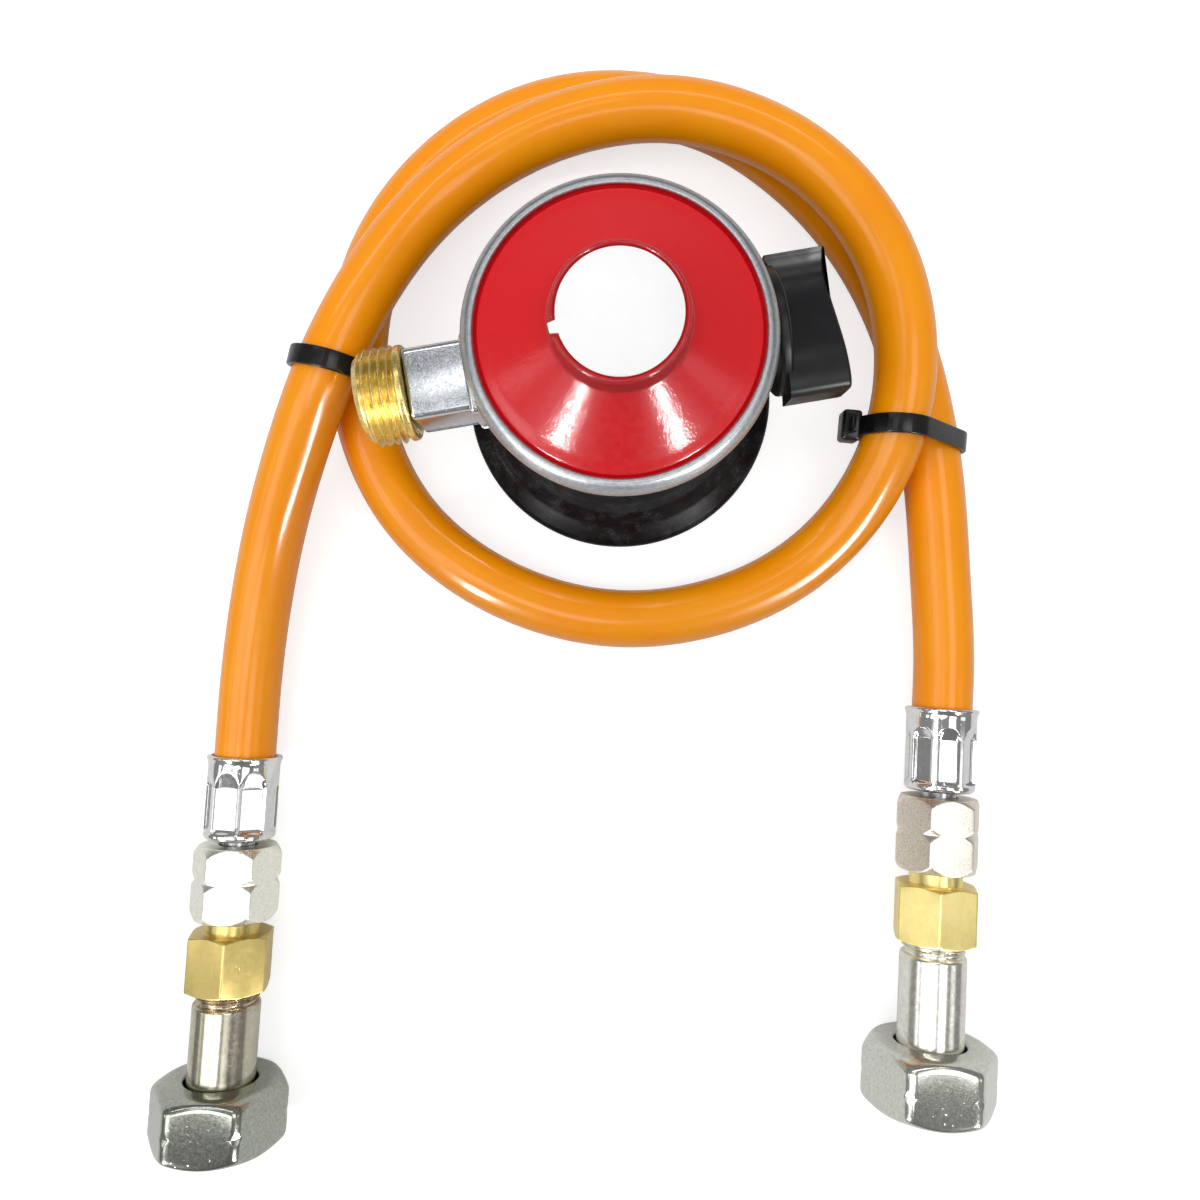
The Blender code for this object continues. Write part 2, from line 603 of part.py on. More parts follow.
def fitted_end(end):
    """Everything on one end of the hose, from the ferrule out to the union nut."""
    place, tag = end.frame(), end.tag
    ferrule(end)
    hose_tail(end)
    nut(f"swivel_nut_{tag}", SMALL_HEX, 22.6, 18.7, end.swivel_turn, 9.9, 10.1,
        ((7.3, 41.3), (6.95, 40.7), (6.95, 25.9), (4.75, 25.9), (4.75, 22.6)), ZINC, place)
    adapter(end)
    turned(f"nipple_{tag}", [
        (7.4, 48.8), (7.75, 49.4), (7.75, 59.7), (7.2, 60.2), (7.75, 60.7), (7.75, 61.1), (7.2, 61.6),
        (7.5, 62.3), (8.25, 62.3), (8.25, 88.2), (9.6, 88.2), (9.6, 91.8), (6.6, 91.8), (6.6, 93.8),
        (4.0, 93.8), (4.0, 48.8)], 20, PLATED, place)
    turned(f"seal_ring_{tag}", [(6.9, 92.1), (9.3, 92.1), (9.3, 94.0), (6.9, 94.0)], 20, RUBBER, place)
    near, far = end.union_at, end.union_at + UNION_LENGTH
    nut(f"union_nut_{tag}", UNION_HEX, near, UNION_LENGTH, end.union_turn, 15.2, 16.2,
        ((10.9, far), (9.95, far - 1.0), (9.95, near + 4.0), (8.6, near + 4.0), (8.6, near + 0.5), (9.1, near)),
        PLATED, place)


def main():
    """Build every sub-part."""
    clear_scene()
    body_casting()
    outlet_neck()
    inlet_hub()
    cover()
    outlet_stub()
    locking_skirt()
    inlet()
    knob()
    spindle()
    hose()
    for end in ENDS:
        fitted_end(end)
    cable_tie("cable_tie_left", (-67.5, 15.5), -23.0, 0.0)
    cable_tie("cable_tie_right", (74.5, -24.5), -14.5, 180.0)


main()
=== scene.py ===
"""Looks of a clip-on gas cylinder regulator and its looped hose kit.

Every size is in millimetres until a mesh is made, and MM turns it into metres. The
regulator stands on its skirt with its outlet towards -X and its tap towards +X.
"""

import logging
import math
from dataclasses import dataclass, replace
from enum import Enum
from typing import Optional, Sequence

import bmesh
import bpy
from mathutils import Matrix, Vector


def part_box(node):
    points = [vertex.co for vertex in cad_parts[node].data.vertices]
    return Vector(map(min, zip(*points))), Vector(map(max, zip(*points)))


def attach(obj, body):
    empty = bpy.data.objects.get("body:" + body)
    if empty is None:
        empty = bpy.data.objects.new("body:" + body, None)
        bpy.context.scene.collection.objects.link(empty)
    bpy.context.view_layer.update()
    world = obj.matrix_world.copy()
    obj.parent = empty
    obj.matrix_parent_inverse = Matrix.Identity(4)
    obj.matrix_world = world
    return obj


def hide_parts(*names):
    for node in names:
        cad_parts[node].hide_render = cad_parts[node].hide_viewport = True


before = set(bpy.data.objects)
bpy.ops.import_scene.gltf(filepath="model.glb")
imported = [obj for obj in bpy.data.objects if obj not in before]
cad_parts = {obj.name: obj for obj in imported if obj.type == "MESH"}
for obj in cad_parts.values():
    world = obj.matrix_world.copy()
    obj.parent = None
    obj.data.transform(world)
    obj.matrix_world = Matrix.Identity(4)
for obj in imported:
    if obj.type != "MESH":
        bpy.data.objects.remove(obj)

LOG = logging.getLogger("regulator_looks")
MM = 0.001
MERGE = 1e-6                        # points nearer than this, in metres, become one
AXIS_X = 4.5                        # the regulator's upright axis
PORT_Z = 42.2                       # height of the outlet and of the tap's spindle
HOSE_R = 7.5
SMALL_HEX, UNION_HEX = 19.0, 30.0   # across the flats of the two sizes of nut
HEX_HALF = math.radians(30)
# How many degrees from a corner a nut's wall is drawn at, up to the middle of a flat.
HEX_STEPS = (1.2, 2.6, 4.2, 6, 8, 10.5, 13.5, 17, 21, 25.5)
THREAD_PITCH = 1.814
PIN_BORE_R = 2.4
GAS_BORE_R = 3.2
BALL_R, BALL_COUNT = 3.7, 3
BALL_TURN = 0.5                     # the first ball's direction, in radians
NOISE_RANGE = (0.3, 0.7)            # most of a noise's values lie between these
WHITE_LIGHT = (1.0, 1.0, 1.0, 1.0)

Pair = tuple[float, float]
Triple = tuple[float, float, float]
Profile = list[Pair]
Corners = tuple[tuple[float, ...], ...]


class Body(Enum):
    """The moving bodies that pieces ride on."""

    KIT = "hose_kit"
    REGULATOR = "regulator"
    SKIRT = "skirt"
    TAP = "tap"
    PIN = "pin"


class Slot(Enum):
    """The record's material slots."""

    ZINC = "zinc"
    PLATED = "plated_steel"
    STEEL = "steel"
    BRASS = "brass"
    RED = "red_enamel"
    WHITE = "white_label"
    BLACK = "black_plastic"
    RUBBER = "black_rubber"
    ORANGE = "orange_hose"


class Grain(Enum):
    """Which way a metal's tool marks run, in its piece's own frame."""

    NONE = (1.0, 1.0, 1.0)
    LENGTHWISE = (1.0, 1.0, 40.0)
    AROUND = (60.0, 60.0, 1.0)


# ---------------------------------------------------------------- small geometry helpers
def tint(red: int, green: int, blue: int) -> Triple:
    """Turn a display colour, 0 to 255, into the linear colour a shader takes.

    Args:
        red: red, 0 to 255.
        green: green, 0 to 255.
        blue: blue, 0 to 255.

    Returns:
        The linear colour.
    """
    def one(value: float) -> float:
        """Return one channel in linear light."""
        value /= 255.0
        return value / 12.92 if value <= 0.04045 else ((value + 0.055) / 1.055) ** 2.4
    return one(red), one(green), one(blue)


def shaded(colour: Triple, share: float) -> Triple:
    """Return a darker colour, with this share of its light."""
    return tuple(share * channel for channel in colour)


def upright(height: float = 0.0) -> Matrix:
    """Return the frame on the regulator's upright axis, in millimetres."""
    return Matrix.Translation(Vector((AXIS_X, 0, height)))


def across_port(direction: int = 1) -> Matrix:
    """Return the frame on the port's axis whose Z is world X, or -X."""
    return upright(PORT_Z) @ Matrix.Rotation(direction * math.pi / 2, 4, "Y")


def smooth_step(share: float) -> float:
    """Return a share held to 0 to 1 and eased at both ends."""
    share = min(max(share, 0.0), 1.0)
    return share * share * (3 - 2 * share)


def curved(a: Vector, b: Vector, c: Vector, d: Vector, share: float) -> Vector:
    """Return a point between b and c, on the smooth curve that also runs through a and d."""
    return 0.5 * (2 * b + (c - a) * share + (2 * a - 5 * b + 4 * c - d) * share * share
                  + (3 * b - a - 3 * c + d) * share ** 3)


def soft_rows(start: float, end: float, soft: float) -> list[Pair]:
    """Return the rows of a bar whose far end has rounded edges.

    Args:
        start: the height of its plain end.
        end: the height of its far end.
        soft: the rounding.

    Returns:
        (height, inset) pairs, where inset is how far the outline is drawn in.
    """
    turns = [math.pi / 2 * k / 6 for k in range(7)]
    return [(start, 0.0)] + [(end - soft + soft * math.sin(a), soft * (1 - math.cos(a))) for a in turns]


def softened(profile: Sequence[tuple[float, ...]], cut: float, steps: int = 4,
             closed: bool = True) -> Profile:
    """Round the corners of a profile with the same number of points at each.

    Args:
        profile: (radius, height) points, or (radius, height, cut) where a corner has its own cut.
        cut: how far from a corner its rounding starts.
        steps: how many short lines make one rounding.
        closed: whether the last point joins the first.

    Returns:
        The profile with every corner replaced by a short curve.
    """
    count = len(profile)
    made: Profile = []
    for k, corner in enumerate(profile):
        here = Vector(corner[:2])
        if not closed and k in (0, count - 1):
            made.append((here.x, here.y))
            continue
        before, after = Vector(profile[k - 1][:2]), Vector(profile[(k + 1) % count][:2])
        want = corner[2] if len(corner) > 2 else cut
        near, far = (before - here).length, (after - here).length
        first = here + (before - here) * (min(want, 0.45 * near) / max(near, 1e-9))
        last = here + (after - here) * (min(want, 0.45 * far) / max(far, 1e-9))
        for n in range(steps + 1):
            s = n / steps
            spot = first * (1 - s) ** 2 + here * (2 * s * (1 - s)) + last * s ** 2
            made.append((spot.x, spot.y))
    return made


def tidy_mesh(mesh: bpy.types.Mesh, crease: float) -> None:
    """Weld a mesh, turn its faces outwards and shade it smooth up to a crease angle.

    Args:
        mesh: the mesh to tidy.
        crease: edges sharper than this many degrees stay sharp.
    """
    work = bmesh.new()
    work.from_mesh(mesh)
    bmesh.ops.remove_doubles(work, verts=work.verts, dist=MERGE)
    bmesh.ops.dissolve_degenerate(work, edges=work.edges, dist=MERGE / 10)
    bmesh.ops.recalc_face_normals(work, faces=work.faces)
    work.to_mesh(mesh)
    work.free()
    mesh.shade_smooth()
    mesh.set_sharp_from_angle(angle=math.radians(crease))


def meshed(name: str, work: bmesh.types.BMesh) -> bpy.types.Mesh:
    """Turn working geometry into a mesh.

    Args:
        name: the mesh's name.
        work: the working geometry, which is used up.

    Returns:
        The mesh.
    """
    mesh = bpy.data.meshes.new(name)
    work.to_mesh(mesh)
    work.free()
    return mesh


def linked(name: str, mesh: bpy.types.Mesh) -> bpy.types.Object:
    """Link a mesh as an object that sits at the origin.

    Args:
        name: the object's name.
        mesh: its mesh.

    Returns:
        The object.
    """
    made = bpy.data.objects.new(name, mesh)
    bpy.context.scene.collection.objects.link(made)
    return made


def skinned(name: str, columns: Sequence[Sequence[Vector]], place: Matrix, round_rows: bool = True,
            round_columns: bool = True, crease: float = 40.0, capped: bool = False) -> bpy.types.Object:
    """Skin columns of points into one mesh.

    Args:
        name: the object's name.
        columns: columns with equal point counts, in the piece's own frame, in millimetres.
        place: the frame that the columns are in.
        round_rows: whether the last column joins the first.
        round_columns: whether each column's last point joins its first.
        crease: edges sharper than this many degrees stay sharp.
        capped: whether the open ends of the columns are closed with flat faces.

    Returns:
        The new object.
    """
    wide, tall = len(columns), len(columns[0])
    faces = []
    for i in range(wide if round_rows else wide - 1):
        n = (i + 1) % wide
        for k in range(tall if round_columns else tall - 1):
            m = (k + 1) % tall
            faces.append([i * tall + k, n * tall + k, n * tall + m, i * tall + m])
    if capped:
        faces += [[i * tall for i in range(wide)], [i * tall + tall - 1 for i in range(wide)]]
    mesh = bpy.data.meshes.new(name)
    mesh.from_pydata([(place @ point) * MM for column in columns for point in column], [], faces)
    tidy_mesh(mesh, crease)
    return linked(name, mesh)


def lathe(name: str, profile: Profile, place: Matrix, sides: int = 160, crease: float = 40.0,
          left_open: bool = False) -> bpy.types.Object:
    """Turn a profile about its frame's Z axis.

    Args:
        name: the object's name.
        profile: (radius, height) points. It closes on itself unless both ends are on the axis.
        place: the frame to turn it in.
        sides: how many steps make the full turn.
        crease: edges sharper than this many degrees stay sharp.
        left_open: whether it stays open, where a threaded wall will be welded on.

    Returns:
        The new object.
    """
    on_axis = profile[0][0] < MERGE and profile[-1][0] < MERGE
    turns = [math.tau * k / sides for k in range(sides)]
    columns = [[Vector((r * math.cos(turn), r * math.sin(turn), h)) for r, h in profile] for turn in turns]
    return skinned(name, columns, place, round_columns=not (on_axis or left_open), crease=crease)


def merged(name: str, parts: Sequence[bpy.types.Object], crease: float = 40.0) -> bpy.types.Object:
    """Join several objects into one and weld the edges that meet.

    Args:
        name: the joined object's name.
        parts: the objects, which are used up.
        crease: edges sharper than this many degrees stay sharp.

    Returns:
        The joined object.
    """
    work = bmesh.new()
    for part in parts:
        work.from_mesh(part.data)
    mesh = meshed(name, work)
    for part in parts:
        bpy.data.objects.remove(part)
    tidy_mesh(mesh, crease)
    return linked(name, mesh)


def settled(piece: bpy.types.Object) -> bpy.types.Object:
    """Turn an object and its modifiers into one plain mesh object of the same name.

    Args:
        piece: the object with modifiers, which is used up.

    Returns:
        The plain object.
    """
    name = piece.name
    ready = piece.evaluated_get(bpy.context.evaluated_depsgraph_get())
    mesh = bpy.data.meshes.new_from_object(ready)
    piece.modifiers.clear()
    bpy.data.objects.remove(piece)
    mesh.name = name
    tidy_mesh(mesh, 40.0)
    return linked(name, mesh)


def carved(target: bpy.types.Object, tools: Sequence[bpy.types.Object]) -> bpy.types.Object:
    """Cut tools out of a piece.

    Args:
        target: the piece, which is used up.
        tools: the cutting solids, which are used up.

    Returns:
        The cut piece.
    """
    for tool in tools:
        step = target.modifiers.new(tool.name, "BOOLEAN")
        step.operation = "DIFFERENCE"
        step.solver = "EXACT"
        step.object = tool
    made = settled(target)
    for tool in tools:
        bpy.data.objects.remove(tool)
    return made


def rod(start: float, end: float, radius: float, place: Matrix, sides: int = 64) -> bpy.types.Object:
    """Make a plain round cutting tool between two heights of a frame."""
    return lathe("tool", [(0, start), (radius, start), (radius, end), (0, end)], place, sides)


def soft_block(name: str, size: Triple, place: Matrix, edge: float) -> bpy.types.Object:
    """Build a block with rounded edges.

    Args:
        name: the object's name.
        size: its size in its own frame.
        place: its frame.
        edge: the rounding of its edges.

    Returns:
        The block.
    """
    work = bmesh.new()
    bmesh.ops.create_cube(work, size=1.0)
    bmesh.ops.scale(work, vec=Vector(size), verts=work.verts)
    bmesh.ops.bevel(work, geom=work.edges, offset=edge, segments=4, profile=0.5, affect="EDGES")
    bmesh.ops.transform(work, matrix=place, verts=work.verts)
    bmesh.ops.scale(work, vec=Vector((MM, MM, MM)), verts=work.verts)
    mesh = meshed(name, work)
    tidy_mesh(mesh, 45)
    return linked(name, mesh)


def dressed(piece: bpy.types.Object, finish: bpy.types.Material, body: str,
            node: str) -> bpy.types.Object:
    """Give a finished piece its material and its body, and hide the CAD node that it stands for.

    Args:
        piece: the finished piece.
        finish: its material.
        body: the body that it rides on.
        node: the CAD node that it replaces.

    Returns:
        The same piece.
    """
    piece.data.materials.clear()
    piece.data.materials.append(finish)
    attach(piece, body)
    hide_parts(node)
    LOG.info("%s: %d faces on %s", piece.name, len(piece.data.polygons), body)
    return piece


def repainted(node: str, finish: bpy.types.Material) -> None:
    """Keep a CAD node and give it a better material.

    Args:
        node: the node's name.
        finish: its new material.
    """
    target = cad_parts[node]
    target.data.materials.clear()
    target.data.materials.append(finish)
    LOG.info("%s: kept, with %s", node, finish.name)


# ---------------------------------------------------------------- shader helpers
class Look:
    """A material's node tree, with short ways to add nodes and join them."""

    def __init__(self, name: str) -> None:
        """Make an empty material with a Principled shader in it.

        Args:
            name: the material's name.
        """
        self.material = bpy.data.materials.new(name)
        self.material.use_nodes = True
        self.tree = self.material.node_tree
        self.shader = self.tree.nodes["Principled BSDF"]

    def node(self, kind: str, **inputs: object) -> bpy.types.Node:
        """Add a node and set its plain inputs by name.

        Args:
            kind: the node's type.
            inputs: values by input name.

        Returns:
            The node.
        """
        made = self.tree.nodes.new(kind)
        for name, value in inputs.items():
            made.inputs[name].default_value = value
        return made

    def join(self, source: bpy.types.NodeSocket, target: bpy.types.NodeSocket) -> None:
        """Link two sockets."""
        self.tree.links.new(source, target)

    def put(self, **inputs: object) -> None:
        """Set the shader's own inputs, where _ stands for a space in a name."""
        for name, value in inputs.items():
            self.shader.inputs[name.replace("_", " ")].default_value = value

    def feed(self, name: str, source: bpy.types.NodeSocket) -> None:
        """Link a socket into the shader."""
        self.join(source, self.shader.inputs[name])

    def local(self, place: Matrix, stretch: Triple = (1.0, 1.0, 1.0)) -> bpy.types.NodeSocket:
        """Return object coordinates in a piece's own frame.

        Args:
            place: the frame, in millimetres.
            stretch: how much longer than wide the pattern is along each axis.

        Returns:
            The coordinate socket.
        """
        coordinates = self.node("ShaderNodeTexCoord")
        mapping = self.node("ShaderNodeMapping")
        mapping.vector_type = "TEXTURE"
        mapping.inputs["Location"].default_value = place.translation * MM
        mapping.inputs["Rotation"].default_value = place.to_euler()
        mapping.inputs["Scale"].default_value = stretch
        self.join(coordinates.outputs["Object"], mapping.inputs["Vector"])
        return mapping.outputs["Vector"]

    def noise(self, where: bpy.types.NodeSocket, size: float, detail: float = 3.0,
              rough: float = 0.55, bend: float = 0.0) -> bpy.types.NodeSocket:
        """Add noise whose features are about this many millimetres.

        Args:
            where: the coordinates.
            size: feature size.
            detail: how many finer layers it has.
            rough: how strong the finer layers are.
            bend: how much the pattern is swirled.

        Returns:
            The noise value, 0 to 1.
        """
        made = self.node("ShaderNodeTexNoise", Scale=1 / (size * MM), Detail=detail, Roughness=rough,
                         Distortion=bend)
        self.join(where, made.inputs["Vector"])
        return made.outputs["Fac"]

    def drift(self, where: bpy.types.NodeSocket, size: float, detail: float, start: float = 0.0,
              end: float = 1.0) -> bpy.types.NodeSocket:
        """Return a value that drifts softly between two numbers over the surface."""
        return self.between(self.noise(where, size, detail), *NOISE_RANGE, start, end)

    def spots(self, where: bpy.types.NodeSocket, size: float, low: float,
              high: float) -> bpy.types.NodeSocket:
        """Add small round pits about this far apart, 1 in a pit and 0 outside.

        Args:
            where: the coordinates.
            size: the spacing in millimetres.
            low: the distance, as a share of the spacing, under which the value is 1.
            high: the distance over which the value is 0.

        Returns:
            The pit value.
        """
        cells = self.node("ShaderNodeTexVoronoi", Scale=1 / (size * MM))
        self.join(where, cells.inputs["Vector"])
        return self.between(cells.outputs["Distance"], high, low)

    def between(self, value: bpy.types.NodeSocket, low: float, high: float, start: float = 0.0,
                end: float = 1.0) -> bpy.types.NodeSocket:
        """Map a value from one range to another, smoothly and clamped.

        Args:
            value: the value.
            low: where the result is start.
            high: where the result is end.
            start: the result at low.
            end: the result at high.

        Returns:
            The mapped value.
        """
        made = self.node("ShaderNodeMapRange")
        made.interpolation_type = "SMOOTHSTEP"
        ends = {"From Min": low, "From Max": high, "To Min": start, "To Max": end}
        for name, number in ends.items():
            made.inputs[name].default_value = number
        self.join(value, made.inputs["Value"])
        return made.outputs["Result"]

    def sums(self, how: str, first: bpy.types.NodeSocket, second: object) -> bpy.types.NodeSocket:
        """Do one sum on two values.

        Args:
            how: the sum's name, such as MULTIPLY.
            first: the first value.
            second: another socket, or a number.

        Returns:
            The result.
        """
        made = self.node("ShaderNodeMath")
        made.operation = how
        self.join(first, made.inputs[0])
        if isinstance(second, bpy.types.NodeSocket):
            self.join(second, made.inputs[1])
        else:
            made.inputs[1].default_value = second
        return made.outputs["Value"]

    def mixed(self, share: bpy.types.NodeSocket, first: object, second: object) -> bpy.types.NodeSocket:
        """Mix two colours, where 0 is the first and 1 the second.

        Args:
            share: how much of the second.
            first: a colour or a colour socket.
            second: a colour or a colour socket.

        Returns:
            The mixed colour.
        """
        made = self.node("ShaderNodeMix")
        made.data_type = "RGBA"
        self.join(share, made.inputs[0])
        for value, socket in ((first, made.inputs[6]), (second, made.inputs[7])):
            if isinstance(value, bpy.types.NodeSocket):
                self.join(value, socket)
            else:
                socket.default_value = (*value, 1.0)
        return made.outputs[2]

    def height(self, name: str, *layers: tuple[bpy.types.NodeSocket, float]) -> None:
        """Drive one of the shader's normals from layers of relief.

        Args:
            name: Normal or Coat Normal.
            layers: (height, depth in millimetres) pairs.
        """
        last = None
        for level, depth in layers:
            bump = self.node("ShaderNodeBump", Strength=1.0, Distance=abs(depth) * MM)
            bump.invert = depth < 0
            self.join(level, bump.inputs["Height"])
            if last is not None:
                self.join(last, bump.inputs["Normal"])
            last = bump.outputs["Normal"]
        self.feed(name, last)

    def surface(self, source: bpy.types.NodeSocket) -> bpy.types.Material:
        """Use another shader in place of the Principled one.

        Args:
            source: the other shader's output.

        Returns:
            The material.
        """
        self.join(source, self.tree.nodes["Material Output"].inputs["Surface"])
        self.tree.nodes.remove(self.shader)
        return self.material

    def axis(self, where: bpy.types.NodeSocket, name: str) -> bpy.types.NodeSocket:
        """Return one of a coordinate's X, Y and Z, in metres.

        Args:
            where: the coordinate.
            name: X, Y or Z.

        Returns:
            The value.
        """
        made = self.node("ShaderNodeSeparateXYZ")
        self.join(where, made.inputs[0])
        return made.outputs[name]


# ---------------------------------------------------------------- finishes
@dataclass(frozen=True)
class Metal:
    """A bare or plated metal with mottling, tool marks, pits and stains.

    The light and dark colours are what it reflects, patch and grain are feature
    sizes in millimetres, and the depths are in millimetres.
    """

    name: str
    light: Triple
    dark: Triple
    patch: float = 3.0
    spread: float = 0.2
    smooth: float = 0.2
    dull: float = 0.35
    grain: float = 0.3
    grain_depth: float = 0.004
    marks: Grain = Grain.NONE
    marks_size: float = 0.25
    marks_depth: float = 0.0
    pits: float = 0.0
    pit_depth: float = 0.02
    stain: Optional[Triple] = None
    stain_from: float = 0.0
    stain_to: float = 0.0

    def made(self, place: Matrix, tag: str = "") -> bpy.types.Material:
        """Build the material for a piece in this frame.

        Args:
            place: the piece's frame, which its marks run along.
            tag: an ending for the material's name.

        Returns:
            The material.
        """
        look = Look(self.name + tag)
        here = look.local(place)
        cloud = look.noise(here, self.patch, detail=5.0, rough=0.6, bend=0.6)
        tone = look.between(cloud, 0.5 - self.spread, 0.5 + self.spread)
        colour = look.mixed(tone, self.dark, self.light)
        rough = look.drift(here, self.patch * 0.45, 4.0, self.smooth, self.dull)
        layers = [(look.noise(here, self.grain, 2.0), self.grain_depth)]
        if self.marks_depth > 0:
            along = look.local(place, self.marks.value)
            lines = look.noise(along, self.marks_size, 3.0, 0.65)
            layers.append((lines, self.marks_depth))
            colour = look.mixed(look.between(lines, 0.35, 0.7, 0.0, 0.35), colour, self.dark)
        if self.pits > 0:
            hollow = look.spots(here, self.pits, 0.05, 0.16)
            hollow = look.sums("MULTIPLY", hollow, look.between(look.noise(here, self.pits * 4), 0.45, 0.6))
            layers.append((hollow, -self.pit_depth))
            colour = look.mixed(look.sums("MULTIPLY", hollow, 0.5), colour, self.dark)
        if self.stain is not None:
            reach = look.between(look.axis(here, "Z"), self.stain_to * MM, self.stain_from * MM)
            patchy = look.between(look.noise(here, 2.2, detail=5.0, rough=0.65, bend=0.8), 0.42, 0.62)
            share = look.sums("MULTIPLY", reach, patchy)
            colour = look.mixed(look.sums("MULTIPLY", share, 0.75), colour, self.stain)
            rough = look.sums("ADD", rough, look.sums("MULTIPLY", share, 0.2))
        look.put(Metallic=1.0)
        look.feed("Base Color", colour)
        look.feed("Roughness", rough)
        look.height("Normal", *layers)
        return look.material


@dataclass(frozen=True)
class Enamel:
    """Glossy stove enamel with a faint orange peel, specks of dust under it and painted shade on the boss.

    wall_foot is the height above which the enamel is darkened as painted shade on the raised boss
    and its wall, peel the (feature size, depth) of each layer of the orange peel, in millimetres.
    """

    name: str = "red_enamel_gloss"
    colour: Triple = tint(220, 16, 27)
    wall_foot: float = 71.8
    wall_fade: float = 0.4
    wall_shade: float = 0.68
    speck_shade: float = 0.5
    speck_depth: float = 0.06
    peel: tuple[Pair, ...] = ((0.3, 0.012), (0.6, 0.034))
    swell: Pair = (2.5, 0.02)

    def made(self, place: Matrix) -> bpy.types.Material:
        """Build the material.

        Args:
            place: the piece's frame.

        Returns:
            The material.
        """
        look = Look(self.name)
        here = look.local(place)
        speck = look.spots(here, 5.0, 0.015, 0.05)
        # Painted shade: above wall_foot the boss and its wall take a darker red, standing in for the shade
        # round the boss.
        foot = self.wall_foot * MM
        boss_painted_shade = look.between(look.axis(here, "Z"), foot, foot + self.wall_fade * MM)
        paint = look.mixed(boss_painted_shade, self.colour, shaded(self.colour, self.wall_shade))
        look.feed("Base Color", look.mixed(speck, paint, shaded(self.colour, self.speck_shade)))
        look.feed("Roughness", look.drift(here, 1.5, 4.0, 0.3, 0.42))
        look.put(Coat_Weight=1.0, Coat_Roughness=0.055, Coat_IOR=1.42, Specular_IOR_Level=0.2)
        layers = [(look.noise(here, size, 2.0), depth) for size, depth in self.peel]
        swell = look.noise(here, self.swell[0], 1.0), self.swell[1]
        look.height("Coat Normal", *layers, swell, (speck, self.speck_depth))
        return look.material


@dataclass(frozen=True)
class Plastic:
    """Black moulded plastic with a fine grain and, where asked for, pale patches that are partly scuffing and
    dust and partly a painted sheen.
    """

    name: str
    colour: Triple = tint(19, 19, 21)
    worn: Triple = tint(92, 92, 96)
    shine: float = 0.4
    smooth: float = 0.26
    dull: float = 0.42
    grain: float = 0.35
    grain_depth: float = 0.006
    scuffs_and_sheen: float = 0.0
    marks: Grain = Grain.NONE

    def made(self, place: Matrix) -> bpy.types.Material:
        """Build the material.

        Args:
            place: the piece's frame, which the lines in its pale patches run round.

        Returns:
            The material.
        """
        look = Look(self.name)
        here = look.local(place)
        cloud = look.noise(here, 6.0, detail=4.0, rough=0.6, bend=0.4)
        rough = look.between(cloud, *NOISE_RANGE, self.smooth, self.dull)
        colour = look.mixed(look.drift(here, 1.2, 4.0, 0.0, 0.25), self.colour, shaded(self.colour, 0.6))
        # Pale patches: partly scuffing and dust, partly a painted sheen standing in for a soft highlight.
        if self.scuffs_and_sheen > 0:
            rubbed = look.local(place, self.marks.value)
            lines = look.between(look.noise(rubbed, 0.8, detail=5.0, rough=0.7), 0.5, 0.72)
            dust = look.between(look.noise(here, 7.0, detail=5.0, rough=0.7, bend=0.4), 0.46, 0.66)
            fine = look.between(look.noise(here, 0.5, detail=4.0, rough=0.75), 0.48, 0.68)
            worn = look.sums("ADD", look.sums("ADD", look.sums("MULTIPLY", lines, 0.5), fine), 0.15)
            share = look.sums("MULTIPLY", look.sums("MULTIPLY", worn, dust), self.scuffs_and_sheen)
            colour = look.mixed(share, colour, self.worn)
            rough = look.sums("ADD", rough, look.sums("MULTIPLY", share, 0.3))
        look.feed("Base Color", colour)
        look.feed("Roughness", rough)
        look.put(Specular_IOR_Level=self.shine)
        look.height("Normal", (look.noise(here, self.grain, 2.0), self.grain_depth))
        return look.material


@dataclass(frozen=True)
class HoseRubber:
    """Extruded orange rubber: even in colour and soft in gloss."""

    name: str = "orange_hose_rubber"
    colour: Triple = tint(255, 159, 0)
    deep: Triple = tint(255, 153, 0)

    def made(self, place: Matrix) -> bpy.types.Material:
        """Build the material.

        Args:
            place: the piece's frame.

        Returns:
            The material.
        """
        look = Look(self.name)
        here = look.local(place)
        cloud = look.between(look.noise(here, 16.0, 3.0), 0.35, 0.7)
        look.feed("Base Color", look.mixed(cloud, self.deep, self.colour))
        look.feed("Roughness", look.drift(here, 2.0, 3.0, 0.34, 0.46))
        look.put(Coat_Weight=0.75, Coat_Roughness=0.17, Coat_IOR=1.45, Specular_IOR_Level=0.1)
        look.height("Normal", (look.noise(here, 0.5, 2.0), 0.003))
        look.height("Coat Normal", (look.noise(here, 3.0, 2.0), 0.006))
        return look.material


@dataclass(frozen=True)
class Label:
    """A bare white paper disc with a faint tooth."""

    name: str = "white_label_paper"
    colour: Triple = tint(250, 250, 250)
    clean: Triple = tint(252, 252, 252)

    def made(self, place: Matrix) -> bpy.types.Material:
        """Build the material.

        Args:
            place: the piece's frame.

        Returns:
            The material.
        """
        look = Look(self.name)
        here = look.local(place)
        look.feed("Base Color", look.mixed(look.drift(here, 3.0, 4.0), self.clean, self.colour))
        look.put(Roughness=0.45, Specular_IOR_Level=0.4)
        look.height("Normal", (look.noise(here, 0.3, 3.0), 0.004))
        return look.material


@dataclass(frozen=True)
class Rubber:
    """Dull black seal rubber."""

    name: str = "black_seal_rubber"
    colour: Triple = tint(34, 34, 35)
    deep: Triple = tint(24, 24, 25)

    def made(self, place: Matrix) -> bpy.types.Material:
        """Build the material.

        Args:
            place: the piece's frame.

        Returns:
            The material.
        """
        look = Look(self.name)
        here = look.local(place)
        look.feed("Base Color", look.mixed(look.drift(here, 1.0, 4.0), self.deep, self.colour))
        look.feed("Roughness", look.drift(here, 0.6, 3.0, 0.6, 0.85))
        look.height("Normal", (look.noise(here, 0.25, 2.0), 0.01))
        return look.material


